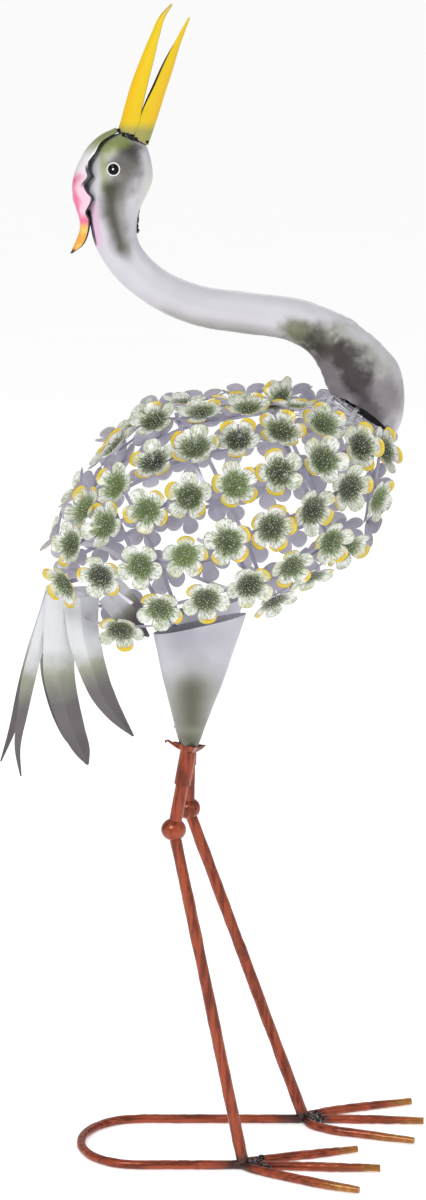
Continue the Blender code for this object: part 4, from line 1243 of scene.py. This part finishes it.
beak_paint = Finish("beak_enamel", roughness=0.34, metallic=0.05, coat=0.15)
beak_edge = beak_paint.node("ShaderNodeAttribute", {"attribute_name": "edge"}, output="Fac")
beak_height = beak_paint.node("ShaderNodeSeparateXYZ", None, {"Vector": beak_paint.place}, "Z")
beak_cloud = beak_paint.grain(60.0)
warm = beak_paint.fade(beak_height, 0.895, 0.915) * beak_paint.fade(beak_height, 0.975, 0.935)
beak_colour = beak_paint.coats(
    beak_paint.mix(beak_cloud, (0.72, 0.53, 0.006), (0.68, 0.45, 0.004)),
    (warm * beak_paint.fade(beak_edge, 0.9, 0.3) * 0.5, (0.85, 0.46, 0.005)),
    (beak_paint.fade(beak_height + beak_cloud * 0.006, 0.908, 0.897) * 0.85, (0.26, 0.28, 0.10)),
    (beak_paint.fade(beak_height, 0.984, 0.996) * 0.55, (0.30, 0.22, 0.04)),
    (beak_paint.fade(beak_edge, 0.95, 0.99) * 0.35, (0.30, 0.22, 0.03)))
beak_paint.wear("Base Color", beak_colour)
beak_paint.wear("Roughness", 0.30 + beak_cloud * 0.14)
beak_paint.dent(beak_paint.grain(300.0), 0.15, 0.0006)
beak_inner = Finish("beak_inside", roughness=0.5, metallic=0.2)
beak_inner.clouded(150.0, (0.055, 0.030, 0.012), (0.12, 0.075, 0.03), 300.0, 0.3, 0.0006)
for name, knots, heart_x, slip in (("upper", UPPER_BEAK_KNOTS, -0.055, 0.0),
                                   ("lower", LOWER_BEAK_KNOTS, -0.062, 0.0017)):
    beak = folded("beak_sheet_" + name, knots, 0.0015, [beak_paint, beak_inner],
                  Vector((heart_x, 0.0, 0.925)), 1.0, slip)
    fit(beak, [], ["beak_" + name], crease=45.0)

SOLDER_FROM = Vector((-0.0815, 0.0, 0.8965))
SOLDER_TO = Vector((-0.0585, 0.0, 0.8865))
SOLDER_HALF_WIDTH = 0.0082
SOLDER_DROPS = 24
solder = []
chance = random.Random(12)
for number in range(SOLDER_DROPS):
    share = number / (SOLDER_DROPS - 1)
    centre = SOLDER_FROM.lerp(SOLDER_TO, share)
    half_width = SOLDER_HALF_WIDTH * math.sin(math.pi * min(max(share, 0.12), 0.88))
    for sign in (-1.0, 1.0):
        radius = chance.uniform(0.0012, 0.0020) + 0.0008 * math.sin(math.pi * share) ** 2
        stray = Vector((chance.uniform(-0.001, 0.001), half_width * sign, chance.uniform(-0.0015, 0.0015)))
        solder.append((centre + stray, radius))
beak_solder = melted("beak_solder", solder, 0.0005)
hammer(beak_solder, 0.0010, 0.0016)
fit(beak_solder, [weld], [], crease=60.0)

# Eyes: a white enamel ring round a glossy black dome on each side of the head, with one painted
# white glint.

EYE_PLACE = Vector((-0.0850, 0.0196, 0.8660))
EYE_TURN = math.radians(6.0)
EYE_RADIUS = 0.0046
DOME_FLATNESS = 0.50
RING_RADIUS = 0.0051
RING_THICKNESS = 0.0007
GLINT_RADIUS = 0.0009
GLINT_PLACE = (0.0, 0.0003, 0.0023)
GLINT_FLATNESS = 0.4

eye_black = Finish("eye_black", roughness=0.16, gloss=0.12)
eye_cloud = eye_black.grain(300.0, 2.0)
eye_black.wear("Base Color", eye_black.mix(eye_cloud, (0.002, 0.002, 0.002), (0.006, 0.005, 0.005)))
eye_white = Finish("eye_white", roughness=0.3)
eye_white.clouded(400.0, (0.60, 0.60, 0.58), (0.86, 0.86, 0.84), 400.0, 0.2, 0.0003)


def eye(side, sign):
    """Dome, ring and glint of one eye, turned to face out from the head."""
    place = Vector((EYE_PLACE.x, sign * EYE_PLACE.y, EYE_PLACE.z))
    bpy.ops.mesh.primitive_uv_sphere_add(segments=40, ring_count=20, radius=EYE_RADIUS)
    dome = bpy.context.object
    dome.scale = (1.0, 1.0, DOME_FLATNESS)
    bpy.ops.object.transform_apply(location=False, rotation=False, scale=True)
    dome.data.materials.append(eye_black.material)
    bpy.ops.mesh.primitive_torus_add(major_segments=48, minor_segments=12, major_radius=RING_RADIUS,
                                     minor_radius=RING_THICKNESS)
    ring = bpy.context.object
    ring.data.materials.append(eye_white.material)
    bpy.ops.mesh.primitive_uv_sphere_add(segments=16, ring_count=8, radius=GLINT_RADIUS,
                                         location=GLINT_PLACE)
    glint = bpy.context.object
    glint.scale = (1.0, 1.0, GLINT_FLATNESS)
    glint.data.materials.append(eye_white.material)
    join([dome, ring, glint])
    dome.name = "eye_dome_" + side
    dome.rotation_euler = (-sign * math.pi / 2, 0.0, sign * EYE_TURN)
    dome.location = place
    fit(dome, [], ["eye_" + side], crease=60.0)


eye("near", -1.0)
eye("far", 1.0)

# Tail: a bustle of creased sheet feathers, layered from the middle outwards, white at the root and
# airbrushed through olive to warm dark grey at the tips.

FEATHERS = {
    "inner": (-1.0, 0.0120, 0.0130, (
        (0.0122, -0.0082, 0.0110), (0.0022, -0.0292, 0.0085), (-0.0073, -0.0532, 0.0060),
        (-0.0153, -0.0822, 0.0058), (-0.0203, -0.1092, 0.0045), (-0.0253, -0.1432, 0.0024),
        (-0.0228, -0.1672, 0.0006))),
    "second": (-1.0, 0.0148, 0.0230, (
        (0.0172, -0.0082, 0.0165), (0.0118, -0.0512, 0.0135), (0.0118, -0.0772, 0.0132),
        (0.0168, -0.1022, 0.0120), (0.0240, -0.1252, 0.0098), (0.0318, -0.1440, 0.0060),
        (0.0355, -0.1540, 0.0010))),
    "third": (-0.85, 0.0196, 0.0340, (
        (0.0087, -0.0172, 0.0150), (0.0125, -0.0552, 0.0130), (0.0190, -0.0782, 0.0118),
        (0.0280, -0.1012, 0.0098), (0.0392, -0.1185, 0.0066), (0.0537, -0.1358, 0.0008))),
    "outer": (-0.70, 0.0216, 0.0400, (
        (0.0102, -0.0242, 0.0100), (0.0242, -0.0387, 0.0098), (0.0352, -0.0487, 0.0070),
        (0.0462, -0.0572, 0.0010))),
}
FAR_INNER_SPINE = (
    (0.0102, -0.0082, 0.0110), (-0.0018, -0.0342, 0.0070), (-0.0128, -0.0632, 0.0055),
    (-0.0228, -0.0982, 0.0045), (-0.0318, -0.1332, 0.0030), (-0.0420, -0.1612, 0.0006))
FEATHER_CREASE = 0.30
FAR_SWING = math.radians(4.5)
FEATHER_COLUMNS = 8

tail_paint = Finish("tail_airbrush", roughness=0.34, metallic=0.15, coat=0.15)
down_feather = tail_paint.node("ShaderNodeAttribute", {"attribute_name": "down"}, output="Fac")
tail_cloud = tail_paint.grain(40.0)
tail_hair = tail_paint.grain(160.0, 3.0, (1.0, 1.0, 0.12))
drop = down_feather + tail_cloud * 0.20 - 0.10
tail_colour = tail_paint.coats(
    tail_paint.mix(tail_hair, (0.60, 0.61, 0.63), (0.72, 0.73, 0.75)),
    (tail_paint.fade(drop, 0.30, 0.48), (0.30, 0.31, 0.24)),
    (tail_paint.fade(drop, 0.42, 0.66), (0.135, 0.120, 0.125)),
    (tail_paint.fade(drop, 0.70, 1.0) * 0.6, (0.075, 0.065, 0.065)))
tail_paint.wear("Base Color", tail_colour)
tail_paint.wear("Roughness", 0.28 + tail_cloud * 0.18)
tail_paint.dent(tail_hair + tail_cloud, 0.2, 0.0012)


def swung(spine):
    """The spine turned about its root, so that its tip swings back towards the tail."""
    root_x, root_z = spine[0][:2]
    turned = []
    for x, z, half in spine:
        ahead, below = x - root_x, z - root_z
        turned.append((root_x + ahead * math.cos(FAR_SWING) + below * math.sin(FAR_SWING),
                       root_z - ahead * math.sin(FAR_SWING) + below * math.cos(FAR_SWING), half))
    return turned


def feather(name, hangs_at, y_root, y_tip, spine, sign):
    """Creased sheet along a spine that hangs from a share of the body's axis."""
    root = BODY_CENTRE + BODY_FORWARD * BODY_HALF_LENGTH * hangs_at
    run = flow(spine, 0.0020, axes=2)
    mesh = bmesh.new()
    down_layer = mesh.verts.layers.float.new("down")
    rows = []
    for index, (x, z, half) in enumerate(run):
        before, after = run[max(index - 1, 0)], run[min(index + 1, len(run) - 1)]
        heading = Vector((after[0] - before[0], 0.0, after[1] - before[1])).normalized()
        across = Vector((heading.z, 0.0, -heading.x))
        share = index / (len(run) - 1)
        middle = root + Vector((x, sign * (y_root + (y_tip - y_root) * share), z))
        row = []
        for column in range(-FEATHER_COLUMNS, FEATHER_COLUMNS + 1):
            side = column / FEATHER_COLUMNS
            ridge = half * FEATHER_CREASE * (1.0 - abs(side)) ** 1.35
            vertex = mesh.verts.new(middle + across * half * side + Vector((0.0, sign * ridge, 0.0)))
            vertex[down_layer] = share
            row.append(vertex)
        rows.append(row)
    join_rows(mesh, rows)
    bmesh.ops.recalc_face_normals(mesh, faces=mesh.faces)
    item = from_mesh("feather_" + name, [mesh])
    hammer(item, 0.0010, 0.016)
    thicken(item, PLATE, 0.0)
    fit(item, [tail_paint], ["tail_feather_" + name], crease=28.0)


for name, (hangs_at, y_root, y_tip, spine) in FEATHERS.items():
    for side, sign in (("near", -1.0), ("far", 1.0)):
        if side == "far":
            spine = FAR_INNER_SPINE if name == "inner" else swung(spine)
        feather("%s_%s" % (name, side), hangs_at, y_root, y_tip, spine, sign)

# Studio: a plain pale floor, soft light from above and both sides, and the camera where the
# photograph was taken from, looking slightly down.

bpy.ops.mesh.primitive_plane_add(size=2000.0, location=(0.0, 0.0, -0.0002))
floor = bpy.context.object
floor.name = "studio_floor"
backdrop = Finish("studio_floor_paint", roughness=0.85)
floor_cloud = backdrop.grain(3.0, 2.0)
backdrop.wear("Base Color", backdrop.mix(floor_cloud, (0.90, 0.90, 0.90), (0.93, 0.93, 0.93)))
backdrop.shader.inputs["Emission Color"].default_value = (1.0, 1.0, 1.0, 1.0)
backdrop.shader.inputs["Emission Strength"].default_value = 0.50
floor.data.materials.append(backdrop.material)

world = bpy.data.worlds.new("studio")
world.use_nodes = True
world.node_tree.nodes["Background"].inputs["Color"].default_value = (1.0, 1.0, 1.0, 1.0)
world.node_tree.nodes["Background"].inputs["Strength"].default_value = 0.50
bpy.context.scene.world = world


def softbox(name, place, aim, size, power):
    """Square soft lamp aimed at a place."""
    bpy.ops.object.light_add(type="AREA", location=place)
    lamp = bpy.context.object
    lamp.name = name
    lamp.data.shape = "SQUARE"
    lamp.data.size = size
    lamp.data.energy = power
    lamp.rotation_euler = (Vector(aim) - Vector(place)).to_track_quat("-Z", "Y").to_euler()


softbox("key_light", (-1.2, -2.2, 2.8), (0.0, 0.0, 0.55), 1.0, 52.0)
softbox("fill_light", (2.2, -1.8, 1.6), (0.0, 0.0, 0.55), 1.6, 12.0)
softbox("back_light", (0.6, 2.4, 2.4), (0.0, 0.0, 0.6), 1.6, 10.0)

PHOTO_HEIGHT = 1200.0
FOCAL_LENGTH_IN_PIXELS = 2863.8
SENSOR = 36.0
LOOK_DOWN = 12.175
CAMERA_PLACE = (-0.003, -2.4, 1.0167)

camera_data = bpy.data.cameras.new("photo_camera")
camera = bpy.data.objects.new("photo_camera", camera_data)
bpy.context.scene.collection.objects.link(camera)
camera.location = CAMERA_PLACE
camera.rotation_euler = (math.radians(90.0 - LOOK_DOWN), 0.0, 0.0)
camera_data.sensor_fit = "AUTO"
camera_data.sensor_width = SENSOR
camera_data.lens = FOCAL_LENGTH_IN_PIXELS / PHOTO_HEIGHT * SENSOR
camera_data.clip_end = 3000.0
bpy.context.scene.camera = camera
bpy.context.scene.view_settings.view_transform = "Standard"
